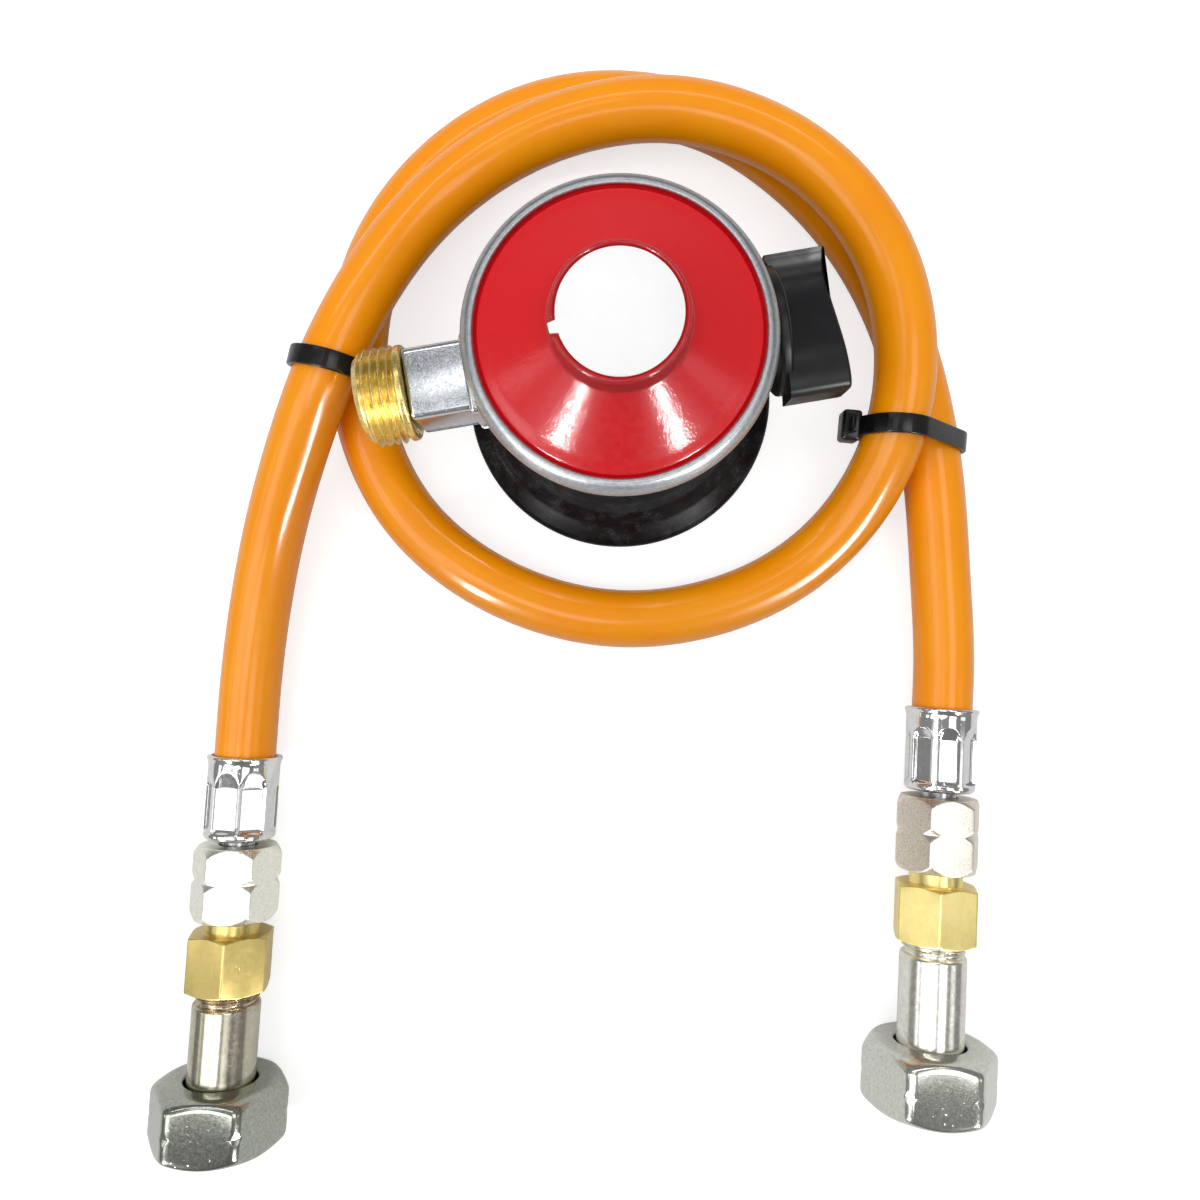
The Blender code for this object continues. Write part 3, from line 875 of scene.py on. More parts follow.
RIM_ZINC = Metal("rim_zinc", tint(182, 185, 188), tint(160, 163, 167), patch=0.9, smooth=0.32, dull=0.46,
                 grain=0.35, grain_depth=0.01)
CAST_ZINC = Metal("cast_zinc", tint(224, 227, 230), tint(190, 195, 200), patch=1.1, spread=0.35,
                  smooth=0.15, dull=0.27, grain=0.35, grain_depth=0.008)
STUB_BRASS = Metal("turned_brass", tint(246, 224, 150), tint(214, 188, 112), patch=1.2, smooth=0.26,
                   dull=0.38, grain=0.4, grain_depth=0.003)
HEX_BRASS = Metal("milled_brass", tint(220, 198, 126), tint(212, 189, 117), patch=2.6, smooth=0.28, dull=0.31,
                  grain=0.35, grain_depth=0.004, marks=Grain.LENGTHWISE, marks_size=0.3, marks_depth=0.007,
                  pits=1.1, pit_depth=0.02)
HEX_BRIGHT = replace(HEX_BRASS, name="bright_brass", light=tint(255, 238, 160), dark=tint(250, 226, 148))
FERRULE_PLATE = Metal("pressed_plate", tint(236, 237, 236), tint(222, 223, 222), patch=1.5, smooth=0.08,
                      dull=0.12, grain=0.6, grain_depth=0.003, pits=2.4, pit_depth=0.02)
SWIVEL_PLATE = Metal("frosted_plate", tint(253, 253, 244), tint(230, 229, 212), patch=0.6, spread=0.24,
                     smooth=0.26, dull=0.34, grain=0.26, grain_depth=0.02)
SWIVEL_WORN = Metal("worn_plate", tint(253, 247, 236), tint(212, 199, 182), patch=0.4, spread=0.24,
                    smooth=0.26, dull=0.34, grain=0.24, grain_depth=0.022)
UNION_PLATE = Metal("dull_plate", tint(186, 189, 180), tint(154, 157, 148), patch=0.7, spread=0.25,
                    smooth=0.13, dull=0.22, grain=0.35, grain_depth=0.006, pits=1.5, pit_depth=0.03)
UNION_PALE = replace(UNION_PLATE, name="pale_plate", light=tint(230, 231, 222), dark=tint(200, 202, 192))
NIPPLE_STEEL = Metal("polished_steel", tint(206, 202, 185), tint(188, 183, 162), patch=1.4, smooth=0.15,
                     dull=0.22, grain=0.4, grain_depth=0.003, marks=Grain.LENGTHWISE, marks_size=0.3,
                     marks_depth=0.003, stain=tint(140, 96, 62), stain_from=60.5, stain_to=64.5)
NIPPLE_SILVER = Metal("satin_steel", tint(243, 241, 234), tint(222, 219, 208), patch=1.4, smooth=0.17,
                      dull=0.25, grain=0.35, grain_depth=0.004)
PLAIN_STEEL = Metal("plain_steel", tint(198, 199, 202), tint(170, 171, 174), patch=1.5, smooth=0.18, dull=0.3,
                    grain=0.3, grain_depth=0.003)
KNOB_PLASTIC = Plastic("knob_plastic", tint(27, 27, 30), shine=0.27, smooth=0.31, dull=0.44, grain=0.3)
# The skirt's pale patches are partly scuffing and dust, partly a painted sheen.
SKIRT_PLASTIC = Plastic("skirt_plastic", tint(6, 8, 14), tint(100, 103, 111), shine=0.2, scuffs_and_sheen=0.55,
                        marks=Grain.AROUND)
TIE_NYLON = Plastic("tie_nylon", smooth=0.2, dull=0.32, grain=0.5, grain_depth=0.003)


# ---------------------------------------------------------------- geometry node trees
class Rule:
    """A Geometry Nodes tree with named inputs, made in code."""

    def __init__(self, name: str) -> None:
        """Make an empty tree with a geometry input and output.

        Args:
            name: the tree's name.
        """
        self.tree = bpy.data.node_groups.new(name, "GeometryNodeTree")
        self.tree.interface.new_socket("Geometry", in_out="INPUT", socket_type="NodeSocketGeometry")
        self.tree.interface.new_socket("Geometry", in_out="OUTPUT", socket_type="NodeSocketGeometry")
        self.way_in = self.tree.nodes.new("NodeGroupInput")
        self.way_out = self.tree.nodes.new("NodeGroupOutput")

    def size(self, name: str, value: float, kind: str = "NodeSocketFloat") -> bpy.types.NodeSocket:
        """Add a named input.

        Args:
            name: the input's name.
            value: its default.
            kind: its socket type.

        Returns:
            Its socket inside the tree.
        """
        self.tree.interface.new_socket(name, in_out="INPUT", socket_type=kind)
        if kind != "NodeSocketMaterial":
            self.tree.interface.items_tree[name].default_value = value
        return self.way_in.outputs[name]

    def node(self, kind: str, *feeds: object, **settings: object) -> bpy.types.Node:
        """Add a node, feed its inputs in order and set its options.

        Args:
            kind: the node's type.
            feeds: a socket, a number, or None for each input in turn.
            settings: the node's own options.

        Returns:
            The node.
        """
        made = self.tree.nodes.new(kind)
        for name, value in settings.items():
            setattr(made, name, value)
        for k, feed in enumerate(feeds):
            if isinstance(feed, bpy.types.NodeSocket):
                self.tree.links.new(feed, made.inputs[k])
            elif feed is not None:
                made.inputs[k].default_value = feed
        return made

    def sums(self, how: str, *feeds: object) -> bpy.types.NodeSocket:
        """Do one sum on sockets or numbers and return its result."""
        return self.node("ShaderNodeMath", *feeds, operation=how).outputs[0]

    def wired(self, kind: str, **sources: bpy.types.NodeSocket) -> bpy.types.Node:
        """Add a node and link sockets into it by name.

        Args:
            kind: the node's type.
            sources: sockets by input name, where _ stands for a space.

        Returns:
            The node.
        """
        made = self.node(kind)
        for name, source in sources.items():
            self.tree.links.new(source, made.inputs[name.replace("_", " ")])
        return made

    def close(self, geometry: bpy.types.NodeSocket, finish: bpy.types.NodeSocket) -> bpy.types.NodeTree:
        """End the tree in Realize Instances and Set Material.

        Args:
            geometry: what the tree makes.
            finish: the material input.

        Returns:
            The finished tree.
        """
        real = self.node("GeometryNodeRealizeInstances", geometry).outputs[0]
        painted = self.wired("GeometryNodeSetMaterial", Geometry=real, Material=finish)
        self.tree.links.new(painted.outputs[0], self.way_out.inputs[0])
        return self.tree


def grown(name: str, tree: bpy.types.NodeTree, sizes: dict[str, object],
          carrier: Optional[bpy.types.ID] = None) -> bpy.types.Object:
    """Run a tree and return what it makes as a plain mesh object.

    Args:
        name: the new object's name.
        tree: the tree.
        sizes: its inputs by name.
        carrier: the curve or mesh that it works on, or none.

    Returns:
        The plain object, at the origin.
    """
    holder = bpy.data.objects.new(name, carrier or bpy.data.meshes.new(name))
    bpy.context.scene.collection.objects.link(holder)
    rule = holder.modifiers.new(name, "NODES")
    rule.node_group = tree
    for item in tree.interface.items_tree:
        if item.in_out == "INPUT" and item.name in sizes:
            rule[item.identifier] = sizes[item.name]
    bpy.context.view_layer.update()
    return settled(holder)


def thread_rule() -> bpy.types.NodeTree:
    """Build the tree for a threaded wall: one tube whose radius rises and falls along a helix.

    The grid's X runs round the tube and its Y along it. Where the helix is on its crest
    the level is 1, and it fades to 0 at both ends of the wall.

    Returns:
        The tree.
    """
    flank, rounding = 1.6, 0.12
    rule = Rule("helical_thread")
    root = rule.size("Root radius", 0.0097)
    depth = rule.size("Depth", 0.0012)
    pitch = rule.size("Pitch", 0.0018)
    length = rule.size("Length", 0.01)
    hand = rule.size("Hand", 1.0)
    crest = rule.size("Crest share", 0.2)
    fade = rule.size("Run-out", 0.001)
    around = rule.size("Steps around", 96, "NodeSocketInt")
    along = rule.size("Steps along", 60, "NodeSocketInt")
    finish = rule.size("Finish", 0, "NodeSocketMaterial")
    wide = rule.sums("ADD", around, 1.0)
    grid = rule.node("GeometryNodeMeshGrid", 1.0, 1.0, wide, along)
    place = rule.node("GeometryNodeInputPosition").outputs[0]
    parts = rule.node("ShaderNodeSeparateXYZ", place).outputs
    share = rule.sums("ADD", parts[0], 0.5)
    up = rule.sums("MULTIPLY", rule.sums("ADD", parts[1], 0.5), length)
    turn = rule.sums("MULTIPLY", share, math.tau)
    phase = rule.sums("SUBTRACT", rule.sums("DIVIDE", up, pitch), rule.sums("MULTIPLY", share, hand))
    wave = rule.sums("ABSOLUTE", rule.sums("SUBTRACT", rule.sums("FRACT", phase), 0.5))
    ridge = rule.sums("DIVIDE", rule.sums("SUBTRACT", rule.sums("MULTIPLY", wave, 2.0), crest),
                      rule.sums("SUBTRACT", 1.0, rule.sums("MULTIPLY", crest, flank)))
    hollow = rule.sums("SMOOTH_MIN", rule.sums("MAXIMUM", ridge, 0.0), 1.0, rounding)
    level = rule.sums("SUBTRACT", 1.0, hollow)
    low = rule.sums("DIVIDE", up, fade)
    high = rule.sums("DIVIDE", rule.sums("SUBTRACT", length, up), fade)
    edge = rule.sums("MAXIMUM", rule.sums("MINIMUM", rule.sums("MINIMUM", low, high), 1.0), 0.0)
    radius = rule.sums("MULTIPLY_ADD", rule.sums("MULTIPLY", level, edge), depth, root)
    spot = rule.node("ShaderNodeCombineXYZ", rule.sums("MULTIPLY", radius, rule.sums("COSINE", turn)),
                     rule.sums("MULTIPLY", radius, rule.sums("SINE", turn)), up).outputs[0]
    moved = rule.wired("GeometryNodeSetPosition", Geometry=grid.outputs[0], Position=spot)
    welded = rule.wired("GeometryNodeMergeByDistance", Geometry=moved.outputs[0])
    welded.inputs["Distance"].default_value = MERGE
    return rule.close(welded.outputs[0], finish)


def sweep_rule() -> bpy.types.NodeTree:
    """Build the tree that sweeps a round section along a curve, with closed ends.

    Returns:
        The tree.
    """
    rule = Rule("round_sweep")
    radius = rule.size("Radius", 0.0075)
    around = rule.size("Steps around", 48, "NodeSocketInt")
    finish = rule.size("Finish", 0, "NodeSocketMaterial")
    circle = rule.wired("GeometryNodeCurvePrimitiveCircle", Resolution=around, Radius=radius)
    sweep = rule.wired("GeometryNodeCurveToMesh", Curve=rule.way_in.outputs["Geometry"],
                       Profile_Curve=circle.outputs[0])
    sweep.inputs["Fill Caps"].default_value = True
    return rule.close(sweep.outputs[0], finish)


def teeth_rule() -> bpy.types.NodeTree:
    """Build the tree for a straight row of small square teeth.

    Returns:
        The tree.
    """
    rule = Rule("row_of_teeth")
    count = rule.size("Count", 6, "NodeSocketInt")
    pitch = rule.size("Pitch", 0.001)
    wide = rule.size("Width", 0.003)
    deep = rule.size("Depth", 0.0005)
    finish = rule.size("Finish", 0, "NodeSocketMaterial")
    step = rule.node("ShaderNodeCombineXYZ", pitch, 0.0, 0.0).outputs[0]
    line = rule.wired("GeometryNodeMeshLine", Count=count, Offset=step)
    size = rule.node("ShaderNodeCombineXYZ", rule.sums("MULTIPLY", pitch, 0.5), wide, deep).outputs[0]
    tooth = rule.wired("GeometryNodeMeshCube", Size=size)
    row = rule.wired("GeometryNodeInstanceOnPoints", Points=line.outputs[0], Instance=tooth.outputs["Mesh"])
    return rule.close(row.outputs[0], finish)


@dataclass
class Threads:
    """A thread cut on a round wall, in millimetres.

    crest_share is the share of the pitch that the crest takes, and run_out how long the
    thread takes to reach its full depth at each end.
    """

    root: float
    crest: float
    pitch: float
    start: float
    length: float
    left_hand: bool = False
    crest_share: float = 0.2
    run_out: float = 0.9
    sides: int = 128
    steps_to_a_pitch: int = 14

    def wall(self, name: str, tree: bpy.types.NodeTree, finish: bpy.types.Material,
             place: Matrix) -> bpy.types.Object:
        """Build the threaded wall as an open tube that welds to plain walls at both ends.

        Args:
            name: the object's name.
            tree: the thread's tree.
            finish: the material.
            place: the frame that the wall is turned in.

        Returns:
            The tube.
        """
        made = grown(name, tree, {
            "Root radius": self.root * MM, "Depth": (self.crest - self.root) * MM, "Pitch": self.pitch * MM,
            "Length": self.length * MM, "Hand": -1.0 if self.left_hand else 1.0,
            "Crest share": self.crest_share, "Run-out": self.run_out * MM, "Steps around": self.sides,
            "Steps along": round(self.length / self.pitch * self.steps_to_a_pitch) + 1, "Finish": finish})
        shift = place.copy()
        shift.translation = place.translation * MM
        made.data.transform(shift @ Matrix.Translation((0, 0, self.start * MM)))
        return made


# ---------------------------------------------------------------- the hose's route and its two ends
# The hose's centre line: up the left leg, over the top of the loop, down to the table,
# under the left leg, round again underneath, down the right leg.
ROUTE: tuple[Triple, ...] = (
    (-107.05, -77.4, 9.5), (-105.1, -68.5, 9.0), (-102, -56, 9), (-98, -43.5, 9.5),
    (-93.2, -31, 11), (-87.5, -19, 13.5), (-81, -8, 17), (-73.5, 3, 21.4),
    (-65, 15, 25), (-55, 29, 24.3), (-44, 42.5, 21.7), (-31.5, 53, 20),
    (-18, 60, 20), (-3.5, 64, 21.3), (10.5, 65, 22.6), (24.5, 64, 23.2),
    (37.5, 60, 23.3), (50, 53, 23.3), (61, 43.5, 23.3), (69, 31.5, 23.3),
    (74, 19, 23.3), (75.7, 5, 23.3), (74.6, -8.5, 23), (71.3, -21, 21.5),
    (66, -32, 17.5), (58.5, -42, 13), (48.8, -50, 9.5), (37, -56, 7.7),
    (23, -59.5, 7.6), (9, -60.5, 7.6), (-5.5, -59, 7.6), (-20.5, -54, 7.6),
    (-34.5, -46, 7.6), (-46.5, -35.5, 7.6), (-56, -22.5, 7.6), (-61.2, -7.5, 8.1),
    (-62.8, 7.5, 9.1), (-61.2, 23, 9.1), (-57, 37, 8.1), (-50, 49, 7.6),
    (-40, 59.5, 7.6), (-29, 67.3, 7.6), (-16.5, 73, 7.6), (-2.5, 76, 7.6),
    (13, 75.7, 7.6), (28, 71.8, 7.6), (42.5, 64.5, 7.6), (55, 53, 7.6),
    (66, 39, 7.6), (74, 23, 7.6), (79, 6.5, 7.7), (81, -10, 8.5),
    (81.5, -25.5, 9.1), (80.8, -41.5, 9.0), (79.5, -54.5, 8.7), (78, -67.5, 8.7),
    (76.6, -80.6, 9.2), (75.1, -87.4, 9.4), (73.3, -95.2, 9.5),
)


@dataclass(frozen=True)
class HoseEnd:
    """Where one fitted end lies. Turns are angles of one corner, in degrees from straight up."""

    tag: str
    start: Triple
    heading: float
    climb: float
    ferrule_turn: float
    swivel_turn: float
    adapter_turn: float
    union_turn: float
    union_at: float

    def frame(self) -> Matrix:
        """Work out the end's frame.

        Returns:
            The frame, with X sideways, Y up and Z out along the fitting.
        """
        heading, climb = math.radians(self.heading), math.radians(self.climb)
        level = Vector((math.cos(heading), math.sin(heading), 0))
        out = level * math.cos(climb) + Vector((0, 0, math.sin(climb)))
        side = Vector((0, 0, 1)).cross(out).normalized()
        axes = Matrix((side, out.cross(side), out)).transposed().to_4x4()
        return Matrix.Translation(Vector(self.start)) @ axes

    def along(self, distance: float) -> Vector:
        """Return the point this far out along the fitting's axis."""
        return self.frame() @ Vector((0, 0, distance))


ENDS = (
    HoseEnd("a", ROUTE[0], -102.3, 3.9, -7.0, 40.0, 12.4, 35.5, 81.0),
    HoseEnd("b", ROUTE[-1], -103.05, 4.35, -5.0, -26.3, -11.3, 27.0, 83.8),
)


def spaced(line: Sequence[Vector], step: float) -> list[Vector]:
    """Return points evenly spaced along a line, about this far apart.

    Args:
        line: the line's points.
        step: the wanted spacing.

    Returns:
        The new points, first and last kept.
    """
    runs = [(b - a).length for a, b in zip(line, line[1:])]
    total = sum(runs)
    count = round(total / step)
    found, passed, k = [line[0].copy()], 0.0, 0
    for n in range(1, count):
        want = total * n / count
        while passed + runs[k] < want:
            passed += runs[k]
            k += 1
        found.append(line[k].lerp(line[k + 1], (want - passed) / runs[k]))
    return found + [line[-1].copy()]


def smooth_route(step: float) -> list[Vector]:
    """Draw one smooth curve through the route.

    Args:
        step: how far apart its points are.

    Returns:
        The curve's points.
    """
    between, passes = 10, 8
    hand = [Vector(p) for p in ROUTE]
    hand = [2 * hand[0] - hand[1]] + hand + [2 * hand[-1] - hand[-2]]
    dense = []
    for a, b, c, d in zip(hand, hand[1:], hand[2:], hand[3:]):
        dense += [curved(a, b, c, d, k / between) for k in range(between)]
    dense.append(hand[-2])
    line = spaced(dense, 4.0)
    for _ in range(passes):
        inner = [(a + 2 * b + c) / 4 for a, b, c in zip(line, line[1:], line[2:])]
        line = [line[0]] + inner + [line[-1]]
    return spaced(line, step)


# ---------------------------------------------------------------- the studio
@dataclass(frozen=True)
class Panel:
    """A soft light panel, with its place, aim and size in metres and its brightness."""

    name: str
    at: Triple
    aim: Triple
    size: Pair
    brightness: float
    mirrored_only: bool = False

    def make(self) -> None:
        """Hang the panel."""
        light = bpy.data.lights.new(self.name, "AREA")
        light.shape = "RECTANGLE"
        light.size, light.size_y = self.size
        light.energy = self.brightness * math.pi * self.size[0] * self.size[1]
        lamp = bpy.data.objects.new(self.name, light)
        bpy.context.scene.collection.objects.link(lamp)
        lamp.location = self.at
        way = Vector(self.aim) - Vector(self.at)
        lamp.rotation_euler = way.to_track_quat("-Z", "Y").to_euler()
        lamp.visible_camera = False
        lamp.visible_diffuse = not self.mirrored_only


@dataclass
class Studio:
    """The camera straight above, the white floor, the sky light, the panels and the dim cards.

    The eye, lens and sensor are in millimetres, and the floor, cards and panels in metres. A
    lift is light that the floor gives off, and a mirrored value is what a glossy surface sees.
    """

    eye: Triple = (-4.5, -53.75, 255.0)
    turn: float = -9.5
    lens: float = 28.365
    sensor: float = 36.0
    shift: float = -20.0 / 1200.0
    floor_half: float = 4.0
    card_size: Triple = (2.6, 1.1, 1.0)
    cards: tuple[tuple[Triple, float], ...] = (((-0.2, -1.07, 1.13), 0.0), ((-0.2, -1.62, 0.57), 90.0))
    sky: float = 0.55
    mirrored_sky: float = 0.26
    floor_level: float = 0.5
    floor_lift: float = 0.7
    mirrored_floor: float = 0.7
    mirrored_lift: float = 0.1
    card_glow: float = 0.19
    panels: tuple[Panel, ...] = (
        Panel("overhead panel", (-0.25, -0.25, 1.1), (-0.1, -0.1, 0.0), (0.44, 0.3), 3.6),
        Panel("left panel", (-0.87, -0.18, 1.1), (-0.1, -0.1, 0.0), (0.66, 0.66), 2.4),
        Panel("right panel", (0.4, -0.15, 1.1), (0.05, -0.1, 0.0), (0.62, 0.42), 2.8),
        Panel("neck panel", (-0.2, 0.29, 1.1), (0.0, 0.0, 0.05), (0.4, 0.15), 2.4),
        Panel("back strip", (0.0, 0.8, 1.1), (0.0, 0.0, 0.0), (1.3, 0.07), 9.0),
        Panel("low left panel", (-1.32, -0.05, 0.66), (0.0, -0.1, 0.0), (0.3, 0.22), 2.0, True),
        Panel("low right panel", (1.1, -0.5, 0.82), (0.0, -0.1, 0.0), (0.3, 0.4), 1.15, True),
        Panel("left tube", (-1.03, -0.95, 0.78), (0.0, 0.0, 0.06), (0.13, 0.6), 85.0, True),
        Panel("right tube", (0.67, -1.23, 0.78), (0.0, 0.0, 0.06), (0.13, 0.6), 85.0, True),
    )

    def camera(self) -> None:
        """Place the camera."""
        data = bpy.data.cameras.new("camera")
        data.sensor_width = self.sensor
        data.lens = self.lens
        data.shift_x = self.shift
        data.clip_start = 0.01
        camera = bpy.data.objects.new("camera", data)
        bpy.context.scene.collection.objects.link(camera)
        camera.location = Vector(self.eye) * MM
        camera.rotation_euler = (0.0, 0.0, math.radians(self.turn))
        bpy.context.scene.camera = camera

    def floor(self) -> None:
        """Lay the floor, which shows white and keeps the shadows."""
        work = bmesh.new()
        bmesh.ops.create_grid(work, x_segments=1, y_segments=1, size=self.floor_half)
        floor = linked("floor", meshed("floor", work))
        look = Look("white_floor")
        paper = look.node("ShaderNodeBsdfDiffuse")
        glow = look.node("ShaderNodeEmission", Color=WHITE_LIGHT)
        path = look.node("ShaderNodeLightPath")
        mirrored, seen = path.outputs["Is Glossy Ray"], path.outputs["Is Camera Ray"]
        level = look.mixed(mirrored, (self.floor_level,) * 3, (self.mirrored_floor,) * 3)
        look.join(level, paper.inputs["Color"])
        lift = look.sums("ADD", look.sums("MULTIPLY", seen, self.floor_lift),
                         look.sums("MULTIPLY", mirrored, self.mirrored_lift))
        look.join(lift, glow.inputs["Strength"])
        both = look.node("ShaderNodeAddShader")
        look.join(paper.outputs[0], both.inputs[0])
        look.join(glow.outputs[0], both.inputs[1])
        floor.data.materials.append(look.surface(both.outputs[0]))

    def card(self) -> None:
        """Hang the dim card above the near side, with a second one standing behind it."""
        work = bmesh.new()
        for at, turn in self.cards:
            tilt = Matrix.Rotation(math.radians(turn), 3, "X")
            place = Matrix.LocRotScale(Vector(at), tilt, Vector(self.card_size))
            bmesh.ops.create_grid(work, x_segments=1, y_segments=1, size=0.5, matrix=place)
        card = linked("dim_card", meshed("dim_card", work))
        look = Look("dim_card")
        glow = look.node("ShaderNodeEmission", Color=WHITE_LIGHT, Strength=self.card_glow)
        card.data.materials.append(look.surface(glow.outputs[0]))
        card.visible_camera = False

    def light(self) -> None:
        """Set the sky light, which the camera sees as white, and hang the panels."""
        world = bpy.data.worlds.new("sky")
        world.use_nodes = True
        bpy.context.scene.world = world
        tree = world.node_tree
        sky = tree.nodes["Background"]
        path = tree.nodes.new("ShaderNodeLightPath")
        last = None
        for ray, strength in (("Is Glossy Ray", self.mirrored_sky), ("Is Camera Ray", 1.0)):
            level = tree.nodes.new("ShaderNodeMapRange")
            level.inputs["To Min"].default_value = self.sky
            level.inputs["To Max"].default_value = strength
            tree.links.new(path.outputs[ray], level.inputs["Value"])
            if last is not None:
                tree.links.new(last, level.inputs["To Min"])
            last = level.outputs["Result"]
        tree.links.new(last, sky.inputs["Strength"])
        sky.inputs["Color"].default_value = WHITE_LIGHT
        for panel in self.panels:
            panel.make()

    def build(self) -> None:
        """Set the whole studio."""
        bpy.context.scene.view_settings.view_transform = "Standard"
        self.camera()
        self.floor()
        self.card()
        self.light()


# ---------------------------------------------------------------- the regulator
@dataclass
class BodyShell:
    """The round zinc body with its crimped rim, the tap's boss, and the hub under it."""

    wall: Corners = (
        (0, 31.6), (20.0, 31.6), (23.5, 33.0), (24.0, 50.0), (26.5, 53.2), (31.0, 55.0), (32.6, 56.8))
    rim: Corners = (
        (33.0, 58.8), (33.05, 60.8), (32.5, 62.6), (31.5, 63.8), (30.6, 64.1), (30.0, 63.9), (29.8, 63.2),
        (31.3, 62.9), (31.3, 60.2), (27.0, 60.2), (26.0, 56.5), (22.0, 54.0), (0, 54.0))
    boss: Corners = ((4.4, 16.0), (11.1, 16.0), (11.0, 23.0), (9.5, 25.6), (9.5, 33.0), (4.4, 33.0))
    socket: Corners = (
        (0, 17.0, 0), (13.8, 17.0, 0.2), (13.8, 5.0), (14.8, 4.0), (19.2, 4.0), (20.0, 4.8),
        (20.0, 31.3, 0.2), (0, 31.3, 0))
    ball_height: float = 9.0
    pocket_room: float = 0.25

    def shell(self) -> bpy.types.Object:
        """Build the body with the boss for the tap's spindle.

        Returns:
            The body.
        """
        body = lathe("body_wall", softened(self.wall + self.rim, 0.9, 5, closed=False), upright(), 192)
        boss = lathe("boss_wall", softened(self.boss, 0.7, 4), across_port(), 96)
        return merged("body_shell", [body, boss])

    def hub(self) -> bpy.types.Object:
        """Build the valve socket with its ball pockets and pin bore.

        Returns:
            The hub.
        """
        hub = lathe("valve_hub", softened(self.socket, 0.5, 3, closed=False), upright(), 144)
        outwards = Matrix.Rotation(math.pi / 2, 4, "Y")
        tools = []
        for k in range(BALL_COUNT):
            turn = Matrix.Rotation(math.tau * k / BALL_COUNT + BALL_TURN, 4, "Z") @ outwards
            tools.append(rod(12.0, 21.5, BALL_R + self.pocket_room, upright(self.ball_height) @ turn))
        tools.append(rod(15.0, 33.0, PIN_BORE_R, upright(), 48))
        return carved(hub, tools)

    def build(self) -> None:
        """Build and dress the body's pieces."""
        zinc = RIM_ZINC.made(upright())
        dressed(self.shell(), zinc, Body.REGULATOR.value, "body_casting")
        dressed(self.hub(), zinc, Body.REGULATOR.value, "inlet_hub")


@dataclass
class CoverCap:
    """The red pressed cover with its raised boss, and the bare white disc on it.

    The boss's lip is notched, notch_at degrees round, and the disc's tab lies in the notch.
    """

    section: Corners = (
        (0, 76.2, 0), (12.6, 76.2, 0.2), (12.85, 76.85, 0.25), (13.4, 76.95, 0.25), (13.75, 76.5, 0.3),
        (14.35, 72.0, 0.2), (14.7, 71.7, 0.2), (26.9, 64.25, 0.9), (29.1, 63.3, 0.5), (29.6, 62.6, 0.2),
        (30.9, 62.6, 0.2), (30.9, 61.5, 0.2), (28.2, 61.5, 0.2), (27.8, 62.6, 0.4), (26.4, 63.2, 0.4),
        (14.2, 70.7, 0.4), (12.9, 71.9, 0.4), (12.8, 74.8, 0.4), (12.2, 75.2, 0.3), (0, 75.2, 0))
    notch_at: float = 184.0
    notch_half: float = 7.0
    notch_from_r: float = 12.4
    notch_floor: float = 76.22
    lip_foot: float = 76.25
    disc_r: float = 12.35
    disc_foot: float = 76.3
    disc_top: float = 76.7
    tab_r: float = 13.95
    tab_half: float = 4.6

    def apart(self, degrees: float) -> float:
        """Return how many degrees this direction is from the notch's middle."""
        return abs((degrees - self.notch_at + 180) % 360 - 180)

    def shell(self) -> bpy.types.Object:
        """Build the cover, and press the lip down in the notch.

        Returns:
            The cover.
        """
        cover = lathe("cover_shell", softened(self.section, 0.4, 4, closed=False), upright(), 240)
        for vertex in cover.data.vertices:
            x, y, z = vertex.co.x / MM - AXIS_X, vertex.co.y / MM, vertex.co.z / MM
            notched = self.apart(math.degrees(math.atan2(y, x))) < self.notch_half
            if notched and math.hypot(x, y) > self.notch_from_r and z > self.lip_foot:
                vertex.co.z = self.notch_floor * MM
        return cover

    def disc(self) -> bpy.types.Object:
        """Build the disc with its small square tab.

        Returns:
            The disc.
        """
        sides, foot, top = 180, self.disc_foot, self.disc_top
        columns = []
        for k in range(sides):
            degrees = 360.0 * k / sides
            radius = self.tab_r if self.apart(degrees) < self.tab_half else self.disc_r
            turn = math.radians(degrees)
            edge = (0, foot), (radius, foot), (radius, top - 0.08), (radius - 0.12, top), (0, top)
            columns.append([Vector((r * math.cos(turn), r * math.sin(turn), h)) for r, h in edge])
        return skinned("label_face", columns, upright(), round_columns=False, crease=50)

    def build(self) -> None:
        """Build and dress the cover and the disc."""
        dressed(self.shell(), Enamel().made(upright()), Body.REGULATOR.value, "cap_cover")
        dressed(self.disc(), Label().made(upright()), Body.REGULATOR.value, "label_disc")


